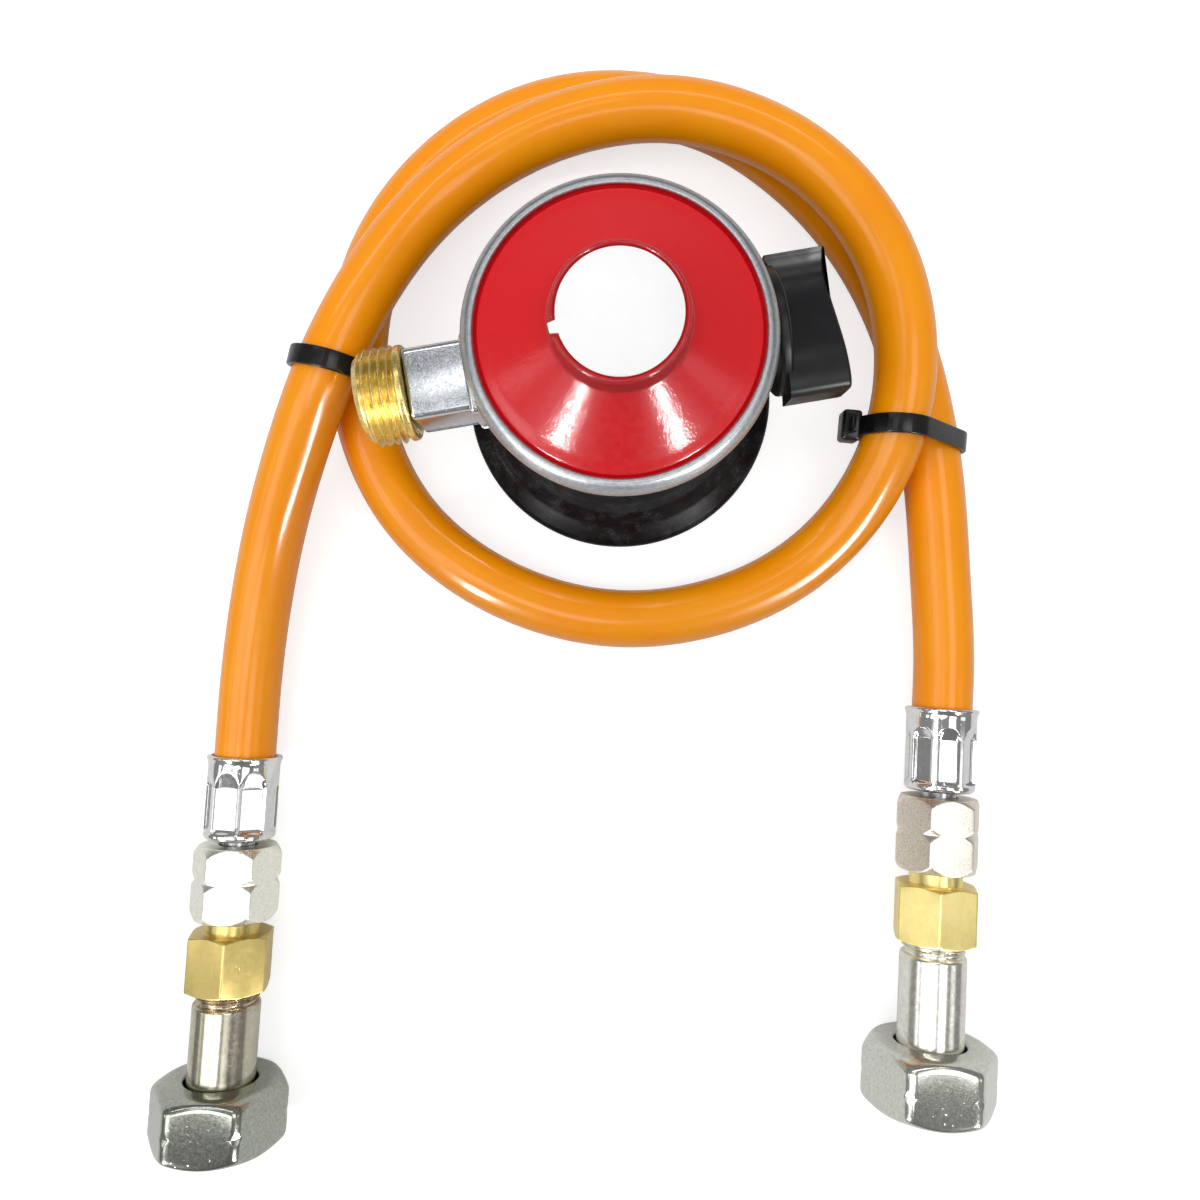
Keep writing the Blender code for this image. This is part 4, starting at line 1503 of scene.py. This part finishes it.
@dataclass
class OutletNeck:
    """The square cast neck with its collar. A half is half the width across the flats."""

    half: float = 8.15
    inner: float = 17.0
    outer: float = 47.2
    collar_half: float = 9.2
    collar_start: float = 19.0
    collar_end: float = 34.2
    stub_bore_r: float = 7.0
    end_round: float = 0.9

    def bar(self, name: str, half: float, start: float, end: float, corner: float,
            crown: float) -> bpy.types.Object:
        """Build one bar with rounded edges and slightly crowned faces.

        Args:
            name: the object's name.
            half: half its width across flats.
            start: its inner end, from the regulator's axis.
            end: its outer end.
            corner: the rounding of its long edges.
            crown: how far the middle of a face stands out over its edges.

        Returns:
            The bar.
        """
        flat = half - corner
        outline = []
        for side in range(4):
            turn = Matrix.Rotation(side * math.pi / 2, 2)
            for k in range(13):
                s = -flat + 2 * flat * k / 12
                outline.append((turn @ Vector((half - crown * (s / flat) ** 2, s)), turn @ Vector((1, 0))))
            for k in range(1, 8):
                a = math.pi / 2 * k / 8
                normal = Vector((math.cos(a), math.sin(a)))
                outline.append((turn @ (Vector((flat - crown, flat)) + corner * normal), turn @ normal))
        columns = [[Vector((*(point - normal * inset), height))
                    for height, inset in soft_rows(start, end, self.end_round)]
                   for point, normal in outline]
        return skinned(name, columns, across_port(-1), round_columns=False, capped=True)

    def build(self) -> None:
        """Build and dress the neck."""
        place = across_port(-1)
        neck = self.bar("neck", self.half, self.inner, self.outer, corner=1.5, crown=0.36)
        bores = [rod(38.0, 50.0, self.stub_bore_r, place), rod(15.0, 40.0, GAS_BORE_R, place, 32)]
        neck = carved(neck, bores)
        collar = self.bar("collar", self.collar_half, self.collar_start, self.collar_end, corner=1.6,
                          crown=0.3)
        piece = merged("neck_casting", [neck, collar])
        dressed(piece, CAST_ZINC.made(place), Body.REGULATOR.value, "outlet_neck")


@dataclass
class OutletStub:
    """The brass outlet: a plain band at the neck, then its left-hand male thread."""

    root: float = 9.75
    crest: float = 10.9
    outer: Corners = (
        (9.9, 49.4), (10.6, 49.1), (10.7, 48.7), (10.6, 47.8), (10.2, 47.45), (6.7, 47.45), (6.7, 38.4),
        (4.0, 38.4), (4.0, 56.6), (4.6, 57.6), (6.2, 58.5), (9.0, 58.5), (9.6, 58.0))

    def build(self, thread: bpy.types.NodeTree) -> None:
        """Build and dress the outlet.

        Args:
            thread: the thread's tree.
        """
        place = across_port(-1)
        brass = STUB_BRASS.made(place)
        cut = Threads(root=self.root, crest=self.crest, pitch=THREAD_PITCH, start=49.5, length=8.0,
                      left_hand=True, crest_share=0.1, run_out=0.6)
        # The first and last corners, of four points each, give way to the ends of the thread.
        wall = softened(self.outer, 0.25, 3)[4:-4]
        profile = [(self.root, cut.start)] + wall + [(self.root, cut.start + cut.length)]
        plain = lathe("stub_wall", profile, place, cut.sides, left_open=True)
        piece = merged("outlet_thread", [plain, cut.wall("thread", thread, brass, place)], 50)
        dressed(piece, brass, Body.REGULATOR.value, "outlet_stub")


@dataclass
class LockingSkirt:
    """The black sliding ring, whose flare is the foot."""

    section: Corners = (
        (20.6, 25.0), (20.6, 9.0), (21.5, 6.8), (25.5, 6.0), (30.0, 4.2), (36.8, 0.0), (40.2, 0.0),
        (40.2, 1.2), (39.6, 2.1), (38.4, 2.9), (35.2, 5.2), (32.0, 9.0), (30.0, 13.5), (29.1, 18.0),
        (28.7, 22.6), (28.2, 24.6), (27.4, 25.0))

    def build(self) -> None:
        """Build and dress the ring."""
        ring = lathe("skirt_ring", softened(self.section, 0.7, 4), upright(), 224)
        dressed(ring, SKIRT_PLASTIC.made(upright()), Body.SKIRT.value, "locking_skirt")


@dataclass
class InletParts:
    """What shows in the valve socket: the seal, the pin and the locking balls."""

    seal: Corners = ((4.5, 13.8), (9.0, 13.8), (9.0, 16.7), (4.5, 16.7))
    pin: Corners = ((0, 11.0, 0), (1.4, 11.0), (2.0, 11.7), (2.0, 41.2), (1.7, 41.45), (0, 41.45, 0))

    def build(self) -> None:
        """Build and dress the parts in the socket, and repaint those that stay as they are."""
        seal = lathe("socket_seal", softened(self.seal, 0.4, 4), upright(), 96)
        dressed(seal, Rubber().made(upright()), Body.REGULATOR.value, "inlet_seal")
        pin = lathe("valve_pin", softened(self.pin, 0.3, 3, closed=False), upright(), 48)
        dressed(pin, STUB_BRASS.made(upright(), "_pin"), Body.PIN.value, "actuator_pin")
        steel = PLAIN_STEEL.made(upright(), "_ball")
        for number in range(1, BALL_COUNT + 1):
            node = f"locking_ball_{number}"
            low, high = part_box(node)
            work = bmesh.new()
            bmesh.ops.create_icosphere(work, subdivisions=4, radius=BALL_R * MM)
            bmesh.ops.translate(work, verts=work.verts, vec=(low + high) / 2)
            mesh = meshed(f"ball_{number}_smooth", work)
            tidy_mesh(mesh, 60)
            dressed(linked(mesh.name, mesh), steel, f"ball_{number}", node)
        repainted("cover_gasket", Rubber("gasket_rubber").made(upright()))
        repainted("spindle_oring", Rubber("o_ring_rubber").made(upright()))
        repainted("knob_spindle", PLAIN_STEEL.made(across_port(), "_spindle"))


@dataclass
class TapKnob:
    """The black tap knob: a round plate and an S-shaped grip."""

    plate: Corners = ((4.3, 33.4), (13.6, 33.4), (14.3, 34.0), (14.3, 35.7), (13.7, 36.3), (4.3, 36.3))
    grip_start: float = 35.0
    grip_end: float = 48.5
    grip_round: float = 0.8
    face: tuple[Pair, ...] = (
        (-16.6, 5.6), (-16.2, 7.5), (-14.6, 8.5), (-11.5, 8.7), (-6.9, 7.9), (-0.7, 5.3), (5.4, 2.5),
        (8.8, 1.4), (11.6, 1.1), (13.6, 1.8), (15.4, 3.0), (16.4, 2.9))

    def section(self) -> list[Vector]:
        """Draw the grip's outline through its face and the same face turned half round.

        Returns:
            The outline's points.
        """
        hand = [Vector(p) for p in self.face] + [Vector((-y, -z)) for y, z in self.face]
        count, between = len(hand), 5
        outline = []
        for k in range(count):
            a, b, c, d = (hand[(k + n) % count] for n in (-1, 0, 1, 2))
            outline += [curved(a, b, c, d, n / between) for n in range(between)]
        return outline

    def grip(self) -> bpy.types.Object:
        """Build the grip with a soft outer end.

        Returns:
            The grip.
        """
        outline = self.section()
        rows = soft_rows(self.grip_start, self.grip_end, self.grip_round)
        columns = []
        for k, point in enumerate(outline):
            way = (outline[(k + 1) % len(outline)] - outline[k - 1]).normalized()
            inward = Vector((way.y, -way.x))
            columns.append([Vector((*(point + inward * inset), height)) for height, inset in rows])
        outwards = upright(PORT_Z) @ Matrix(((0, 0, 1), (1, 0, 0), (0, 1, 0))).to_4x4()
        return skinned("grip", columns, outwards, round_columns=False, capped=True, crease=45)

    def build(self) -> None:
        """Build and dress the knob."""
        plate = lathe("knob_plate", softened(self.plate, 0.45, 4), across_port())
        piece = merged("tap_knob", [plate, self.grip()], 45)
        dressed(piece, KNOB_PLASTIC.made(across_port()), Body.TAP.value, "knob")


# ---------------------------------------------------------------- the hose kit
@dataclass
class Hose:
    """The orange hose on its route, drawn in under both ferrules.

    drawn_in is, from a ferrule's mouth inwards, (distance into it, share of the full radius).
    """

    radius: float = HOSE_R
    drawn_in: tuple[Pair, ...] = ((1.2, 1.0), (2.6, 0.985), (4.9, 0.92), (19.2, 0.92))

    def line(self) -> list[tuple[Vector, float]]:
        """Draw the hose's centre line from inside one ferrule to inside the other.

        Returns:
            The line's points, each with its share of the full radius.
        """
        first, last = ENDS
        before = [(first.along(depth), share) for depth, share in reversed(self.drawn_in)]
        after = [(last.along(depth), share) for depth, share in self.drawn_in]
        return before + [(point, 1.0) for point in smooth_route(2.5)[1:-1]] + after

    def build(self, sweep: bpy.types.NodeTree) -> bpy.types.Object:
        """Build and dress the hose.

        Args:
            sweep: the tree that sweeps a round section.

        Returns:
            The hose.
        """
        curve = bpy.data.curves.new("hose_line", "CURVE")
        curve.dimensions = "3D"
        spline = curve.splines.new("POLY")
        line = self.line()
        spline.points.add(len(line) - 1)
        for slot, (point, share) in zip(spline.points, line):
            slot.co = (*(point * MM), 1.0)
            slot.radius = share
        finish = HoseRubber().made(upright())
        sizes = {"Radius": self.radius * MM, "Steps around": 56, "Finish": finish}
        tube = grown("hose_skin", sweep, sizes, curve)
        return dressed(tube, finish, Body.KIT.value, "hose_tube")

    def declare(self) -> None:
        path = [point * MM for point, _ in self.line()]


@dataclass
class HexNut:
    """A hexagon nut with chamfered ends, rounded corners and a notch in each corner.

    turn is the angle of one corner, notch_at how far along the nut its notches lie, as a
    share of its length, and the slopes are height over depth in the chamfers and notches.
    """

    across: float
    start: float
    length: float
    turn: float
    face_r: float
    corner_round: float
    notch_r: float
    soft: float
    bore: Profile
    slope: float = 0.62
    notch_slope: float = 1.15
    notch_at: float = 0.5
    least_rise: float = 0.06
    least_dip: float = 0.05

    def radius(self, apart: float) -> float:
        """Work out the rounded hexagon's radius.

        Args:
            apart: the angle from a corner, in radians.

        Returns:
            The radius.
        """
        flat, rounding = self.across / 2, self.corner_round
        off = HEX_HALF - apart
        if flat * math.tan(off) <= (flat - rounding) * math.tan(HEX_HALF):
            return flat / math.cos(off)
        centre = (flat - rounding) / math.cos(HEX_HALF)
        return centre * math.cos(apart) + math.sqrt(max(rounding ** 2 - (centre * math.sin(apart)) ** 2, 0.0))

    def column(self, apart: float) -> Profile:
        """Draw the nut's closed profile.

        Args:
            apart: the angle from a corner, in radians.

        Returns:
            (radius, height) points.
        """
        radius = self.radius(apart)
        rise = max((radius - self.face_r) * self.slope, self.least_rise)
        dip = max((radius - self.notch_r) * self.notch_slope, self.least_dip)
        end, middle = self.start + self.length, self.start + self.length * self.notch_at
        outside = [(self.face_r, self.start, self.soft), (radius, self.start + rise, self.soft),
                   (radius, middle - dip, 0.3), (min(radius, self.notch_r), middle, 0.15),
                   (radius, middle + dip, 0.3), (radius, end - rise, self.soft),
                   (self.face_r, end, self.soft)]
        return softened(outside + [(r, h, 0.3) for r, h in self.bore], 0.3, 4)

    def build(self, name: str, place: Matrix) -> bpy.types.Object:
        """Build the nut.

        Args:
            name: the object's name.
            place: the frame that it is turned in.

        Returns:
            The nut.
        """
        offsets = [0, *HEX_STEPS, 30, *(60 - step for step in reversed(HEX_STEPS))]
        columns = []
        for side in range(6):
            for step in offsets:
                angle = math.radians(self.turn + 60 * side + step)
                apart = math.radians(min(step, 60 - step))
                columns.append([Vector((r * math.sin(angle), r * math.cos(angle), h))
                                for r, h in self.column(apart)])
        return skinned(name, columns, place, crease=48)


@dataclass
class Ferrule:
    """A crimped ferrule: a flared rim, then eight flats pressed into its wall.

    wall is the round wall's radius and flat a pressed flat's distance from the axis. A
    flat starts at the height arch in its middle and about spread further on at its edges,
    ridge is the share of its width that the ridges beside it take, and eased the share of
    its slope that is rounded off.
    """

    wall: float = 8.75
    flat: float = 7.5
    panels: int = 8
    arch: float = 3.2
    spread: float = 4.0
    ridge: float = 0.14
    ridge_slope: float = 0.12
    arch_width: float = 0.96
    eased: float = 0.25
    pressed_at: float = 7.9
    freed_at: float = 18.1
    freed_over: float = 1.5
    wall_start: float = 2.8
    wall_length: float = 17.3
    rim: Corners = (
        (8.15, 0.0, 0.15), (9.05, 0.0, 0.3), (9.3, 0.5, 0.3), (8.85, 1.5, 0.5), (8.75, 2.5, 0.5))
    back: Corners = (
        (8.75, 20.2, 0.4), (8.35, 20.9, 0.5), (7.6, 21.2, 0.4), (4.7, 21.2, 0.2), (4.7, 19.6, 0.2),
        (7.15, 19.6, 0.2), (7.15, 4.6, 0.4), (7.85, 1.8, 0.4), (8.15, 0.0, 0.1))

    def radius(self, apart: float, height: float) -> float:
        """Return the pressed wall's radius.

        Args:
            apart: the angle from a flat's middle, in degrees.
            height: how far along the ferrule.

        Returns:
            The radius in millimetres.
        """
        half = 180.0 / self.panels
        inside = half * (1.0 - self.ridge)
        pressed = self.flat / math.cos(math.radians(min(apart, inside)))
        pressed += (self.wall - pressed) * smooth_step((apart - inside) / (half * self.ridge_slope))
        bow = math.sqrt(1.0 - self.arch_width * min(apart / inside, 1.0) ** 2)
        arch_start = self.arch + self.spread * (1.0 - bow)
        down = min(max((height - arch_start) / (self.pressed_at - arch_start), 0.0), 1.0)
        down = smooth_step(down) * self.eased + down * (1.0 - self.eased)
        up = smooth_step((height - self.freed_at) / self.freed_over)
        return self.wall + (pressed - self.wall) * down * (1 - up)

    def build(self, end: HoseEnd) -> bpy.types.Object:
        """Build the ferrule.

        Args:
            end: the end of the hose that it is on.

        Returns:
            The ferrule.
        """
        rows, count = 86, self.panels * 26
        heights = [self.wall_start + self.wall_length * k / rows for k in range(rows + 1)]
        rim = softened(self.rim, 0.3, 4, closed=False)[1:]
        back = softened(self.back, 0.3, 3, closed=False)
        flat_turn = 360 / self.panels
        columns = []
        for k in range(count):
            degrees = 360.0 * k / count
            middle = round((degrees - end.ferrule_turn) / flat_turn) * flat_turn
            apart = abs(degrees - end.ferrule_turn - middle)
            profile = rim + [(self.radius(apart, h), h) for h in heights] + back
            angle = math.radians(degrees)
            columns.append([Vector((r * math.sin(angle), r * math.cos(angle), h)) for r, h in profile])
        return skinned(f"ferrule_{end.tag}_pressed", columns, end.frame(), crease=55)


@dataclass(frozen=True)
class EndLook:
    """The metals of one end's pieces, and how its ferrule is pressed."""

    nipple: Metal
    swivel: Metal
    union: Metal
    adapter: Metal
    crimp: Ferrule


END_LOOKS = {
    "a": EndLook(NIPPLE_STEEL, SWIVEL_PLATE, UNION_PLATE, HEX_BRASS, Ferrule()),
    "b": EndLook(NIPPLE_SILVER, SWIVEL_WORN, UNION_PALE, HEX_BRIGHT,
                 Ferrule(arch=4.7, spread=2.4, ridge=0.3)),
}


@dataclass
class FittedEnd:
    """Everything on one end of the hose, from the ferrule out to the union nut."""

    end: HoseEnd
    thread: bpy.types.NodeTree
    barb_step: float = 4.2
    union_length: float = 16.3
    seal: Corners = ((6.9, 92.1), (9.3, 92.1), (9.3, 94.0), (6.9, 94.0))

    def tail(self) -> bpy.types.Object:
        """Build the barbed tail with its coned head.

        Returns:
            The tail.
        """
        barbs: list[tuple[float, ...]] = [(3.6, 3.0)]
        for k in range(3):
            barbs += [(4.3, 6.4 + self.barb_step * k), (3.8, 6.5 + self.barb_step * k)]
        head = [(4.2, 18.9), (4.2, 26.4), (6.4, 26.4), (6.4, 29.4), (5.6, 30.6), (3.0, 33.6), (2.6, 33.6),
                (2.6, 3.0)]
        return lathe(f"tail_{self.end.tag}_turned", softened(barbs + head, 0.2, 2), self.end.frame(), 72)

    def swivel(self) -> bpy.types.Object:
        """Build the swivel nut.

        Returns:
            The nut.
        """
        nut = HexNut(across=SMALL_HEX, start=22.6, length=18.7, turn=self.end.swivel_turn, face_r=9.35,
                     corner_round=0.7, notch_r=9.88, soft=0.35,
                     bore=[(7.3, 41.3), (6.95, 40.7), (6.95, 25.9), (4.75, 25.9), (4.75, 22.6)],
                     slope=1.35, notch_slope=1.5, notch_at=0.47)
        return nut.build(f"swivel_{self.end.tag}_hex", self.end.frame())

    def adapter(self) -> bpy.types.Object:
        """Build the brass adapter with its hexagon, which has no notches, and its round stub.

        Returns:
            The adapter.
        """
        nut = HexNut(across=SMALL_HEX, start=44.6, length=14.3, turn=self.end.adapter_turn, face_r=9.5,
                     corner_round=0.3, notch_r=20.0, soft=0.25,
                     bore=[(8.4, 58.9), (8.05, 58.4), (8.05, 48.0), (3.0, 46.5), (3.0, 35.4), (5.0, 32.6),
                           (6.2, 32.6), (6.6, 33.2), (6.6, 44.6)], slope=0.4)
        return nut.build(f"adapter_{self.end.tag}_hex", self.end.frame())

    def nipple(self, finish: bpy.types.Material) -> bpy.types.Object:
        """Build the steel nipple with the thread that goes into the adapter.

        Args:
            finish: the nipple's material.

        Returns:
            The nipple.
        """
        place = self.end.frame()
        cut = Threads(root=7.1, crest=7.85, pitch=1.15, start=50.0, length=11.4, run_out=0.5, crest_share=0.1,
                      sides=96)
        outer = softened([
            (7.1, 50.0), (6.9, 49.2), (6.4, 48.8), (4.0, 48.8), (4.0, 93.8), (6.6, 93.8), (6.6, 91.8),
            (9.6, 91.8), (9.6, 88.2), (8.25, 88.2), (8.25, 62.6), (7.9, 62.1), (7.1, 61.9), (7.1, 61.4)],
            0.3, 3, closed=False)
        plain = lathe("nipple_wall", outer, place, cut.sides, left_open=True)
        threaded = cut.wall("thread", self.thread, finish, place)
        return merged(f"nipple_{self.end.tag}_turned", [plain, threaded], 50)

    def union(self, finish: bpy.types.Material) -> bpy.types.Object:
        """Build the big union nut with the thread in its bore.

        Args:
            finish: the nut's material.

        Returns:
            The nut.
        """
        near, far = self.end.union_at, self.end.union_at + self.union_length
        nut = HexNut(across=UNION_HEX, start=near, length=self.union_length, turn=self.end.union_turn,
                     face_r=13.6, corner_round=2.8, notch_r=16.55, soft=1.5,
                     bore=[(11.1, far), (10.85, far - 0.9), (10.85, near + 4.0), (8.75, near + 4.0),
                           (8.75, near + 0.6), (9.2, near)], slope=0.6, notch_slope=5.0, notch_at=0.52)
        shell = nut.build("union_shell", self.end.frame())
        cut = Threads(root=10.85, crest=9.95, pitch=THREAD_PITCH, start=near + 4.2, length=10.9,
                      left_hand=True, sides=96)
        ridge = cut.wall("ridge", self.thread, finish, self.end.frame())
        return merged(f"union_{self.end.tag}_hex", [shell, ridge], 48)

    def build(self) -> list[bpy.types.Object]:
        """Build and dress every piece on the end.

        Returns:
            The pieces that the hose carries.
        """
        tag, place = self.end.tag, self.end.frame()
        mark, kit, looks = f"_{tag}", Body.KIT.value, END_LOOKS[tag]
        steel = looks.nipple.made(place, mark)
        zinc = looks.swivel.made(place, mark)
        plate = looks.union.made(place, mark)
        brass = looks.adapter.made(place, mark)
        rubber = Rubber(f"union_seal_{tag}")
        seal = lathe(f"seal_{tag}_ring", softened(self.seal, 0.3, 3), place, 72)
        return [
            dressed(looks.crimp.build(self.end), FERRULE_PLATE.made(place, mark), kit,
                    f"ferrule_{tag}"),
            dressed(self.tail(), PLAIN_STEEL.made(place, mark), kit, f"hose_tail_{tag}"),
            dressed(self.swivel(), zinc, f"swivel_{tag}", f"swivel_nut_{tag}"),
            dressed(self.adapter(), brass, kit, f"adapter_{tag}"),
            dressed(self.nipple(steel), steel, kit, f"nipple_{tag}"),
            dressed(seal, rubber.made(place), kit, f"seal_ring_{tag}"),
            dressed(self.union(plate), plate, f"union_{tag}", f"union_nut_{tag}"),
        ]


@dataclass
class CableTie:
    """A black cable tie pulled round both passes of the hose.

    inner and outer are how far the strap's two faces lie off the hose's skin. head_turn is
    the head's place round the loop, in degrees. reach is how far from the loop's middle,
    across it and along the hose, the hose is looked for.
    """

    name: str
    centre: Pair
    heading: float
    head_turn: float
    width: float = 4.8
    inner: float = 0.15
    outer: float = 1.4
    head_size: Triple = (4.8, 7.6, 6.4)
    head_out: float = 1.7
    tail_thickness: float = 1.1
    tail_length: float = 4.0
    tail_foot: float = 3.6
    tail_out: float = 1.6
    teeth_out: float = 2.2
    reach: Pair = (30.0, 12.0)

    def axes(self) -> tuple[Vector, Vector, Vector]:
        """Work out how the loop lies.

        Returns:
            Its middle, the way across it and its normal.
        """
        turn = math.radians(self.heading)
        return (Vector((*self.centre, 0)), Vector((math.cos(turn), math.sin(turn), 0)),
                Vector((-math.sin(turn), math.cos(turn), 0)))

    def held(self) -> list[Pair]:
        """Find where the hose's skin passes through the loop.

        Returns:
            (across, height) points on the skin.
        """
        middle, across, normal = self.axes()
        line, sides = smooth_route(1.0), 48
        found = []
        for a, b in zip(line, line[1:]):
            if abs((a - middle).dot(across)) > self.reach[0] or abs((a - middle).dot(normal)) > self.reach[1]:
                continue
            out = (b - a).normalized()
            side = Vector((0, 0, 1)).cross(out).normalized()
            up = out.cross(side)
            for k in range(sides):
                angle = math.tau * k / sides
                skin = a + HOSE_R * (math.cos(angle) * side + math.sin(angle) * up)
                if abs((skin - middle).dot(normal)) < self.width / 2 + 0.2:
                    found.append(((skin - middle).dot(across), skin.z))
        return found

    def strap(self) -> tuple[bpy.types.Object, list[Pair]]:
        """Build the strap with rounded edges, drawn tight over the hose.

        Returns:
            The strap, and its outline as (across, height) points.
        """
        middle, across, normal = self.axes()
        held, sides, half = self.held(), 160, self.width / 2
        edges = (self.inner, -half), (self.outer, -half), (self.outer, half), (self.inner, half)
        section = softened(edges, 0.35, 3)
        outline: list[Pair] = []
        columns = []
        for k in range(sides):
            angle = math.tau * k / sides
            u, v = math.cos(angle), math.sin(angle)
            s, t = max(held, key=lambda point: point[0] * u + point[1] * v)
            outline.append((s + self.outer * u, t + self.outer * v))
            columns.append([middle + across * (s + r * u) + normal * w + Vector((0, 0, t + r * v))
                            for r, w in section])
        return skinned("strap", columns, Matrix.Identity(4)), outline

    def head(self, outline: list[Pair], teeth: bpy.types.NodeTree,
             finish: bpy.types.Material) -> list[bpy.types.Object]:
        """Build the head, the cut-off tail in it and the tail's teeth.

        Args:
            outline: the strap's outline.
            teeth: the tree for a row of teeth.
            finish: the tie's material.

        Returns:
            The pieces of the head.
        """
        middle, across, normal = self.axes()
        turn = math.radians(self.head_turn)
        out = across * math.cos(turn) + Vector((0, 0, math.sin(turn)))
        s, t = outline[round(self.head_turn / 360 * len(outline)) % len(outline)]
        foot = middle + across * s + Vector((0, 0, t))
        up = Vector((0, 0, 1))
        axes = Matrix((out, normal, out.cross(normal))).transposed().to_4x4()
        head_middle = foot + out * self.head_out
        head = soft_block("tie_head", self.head_size, Matrix.Translation(head_middle) @ axes, 1.0)
        tail_size = self.tail_thickness, self.width - 0.4, self.tail_length
        tail_middle = foot + out * self.tail_out + Vector((0, 0, self.tail_foot + self.tail_length / 2))
        tail = soft_block("tie_tail", tail_size, Matrix.Translation(tail_middle) @ axes, 0.3)
        row = grown("teeth", teeth, {"Count": 4, "Pitch": 0.9 * MM, "Width": 3.0 * MM, "Depth": 0.5 * MM,
                                     "Finish": finish})
        row_axes = Matrix((up, normal, up.cross(normal))).transposed().to_4x4()
        row_start = foot + out * self.teeth_out + Vector((0, 0, self.tail_foot + 0.3))
        row.data.transform(Matrix.Translation(row_start * MM) @ row_axes)
        return [head, tail, row]

    def build(self, teeth: bpy.types.NodeTree, finish: bpy.types.Material) -> bpy.types.Object:
        """Build and dress the tie.

        Args:
            teeth: the tree for a row of teeth.
            finish: the tie's material.

        Returns:
            The tie.
        """
        strap, outline = self.strap()
        piece = merged(f"tie_{self.name}", [strap] + self.head(outline, teeth, finish), 45)
        return dressed(piece, finish, Body.KIT.value, f"cable_tie_{self.name}")


TIES = (CableTie("left", (-67.5, 15.5), -23.0, 0.0), CableTie("right", (74.5, -24.5), -14.5, 180.0))


def main() -> None:
    """Build the studio and every piece."""
    logging.basicConfig(level=logging.INFO, format="%(name)s: %(message)s")
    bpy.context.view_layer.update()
    Studio().build()
    sweep, thread, teeth = sweep_rule(), thread_rule(), teeth_rule()
    hose = Hose()
    tube = hose.build(sweep)
    carried: list[bpy.types.Object] = []
    for end in ENDS:
        carried += FittedEnd(end, thread).build()
    nylon = TIE_NYLON.made(upright())
    for tie in TIES:
        carried.append(tie.build(teeth, nylon))
    hose.declare()
    BodyShell().build()
    CoverCap().build()
    OutletNeck().build()
    OutletStub().build(thread)
    LockingSkirt().build()
    InletParts().build()
    TapKnob().build()


if __name__ == "__main__":
    main()
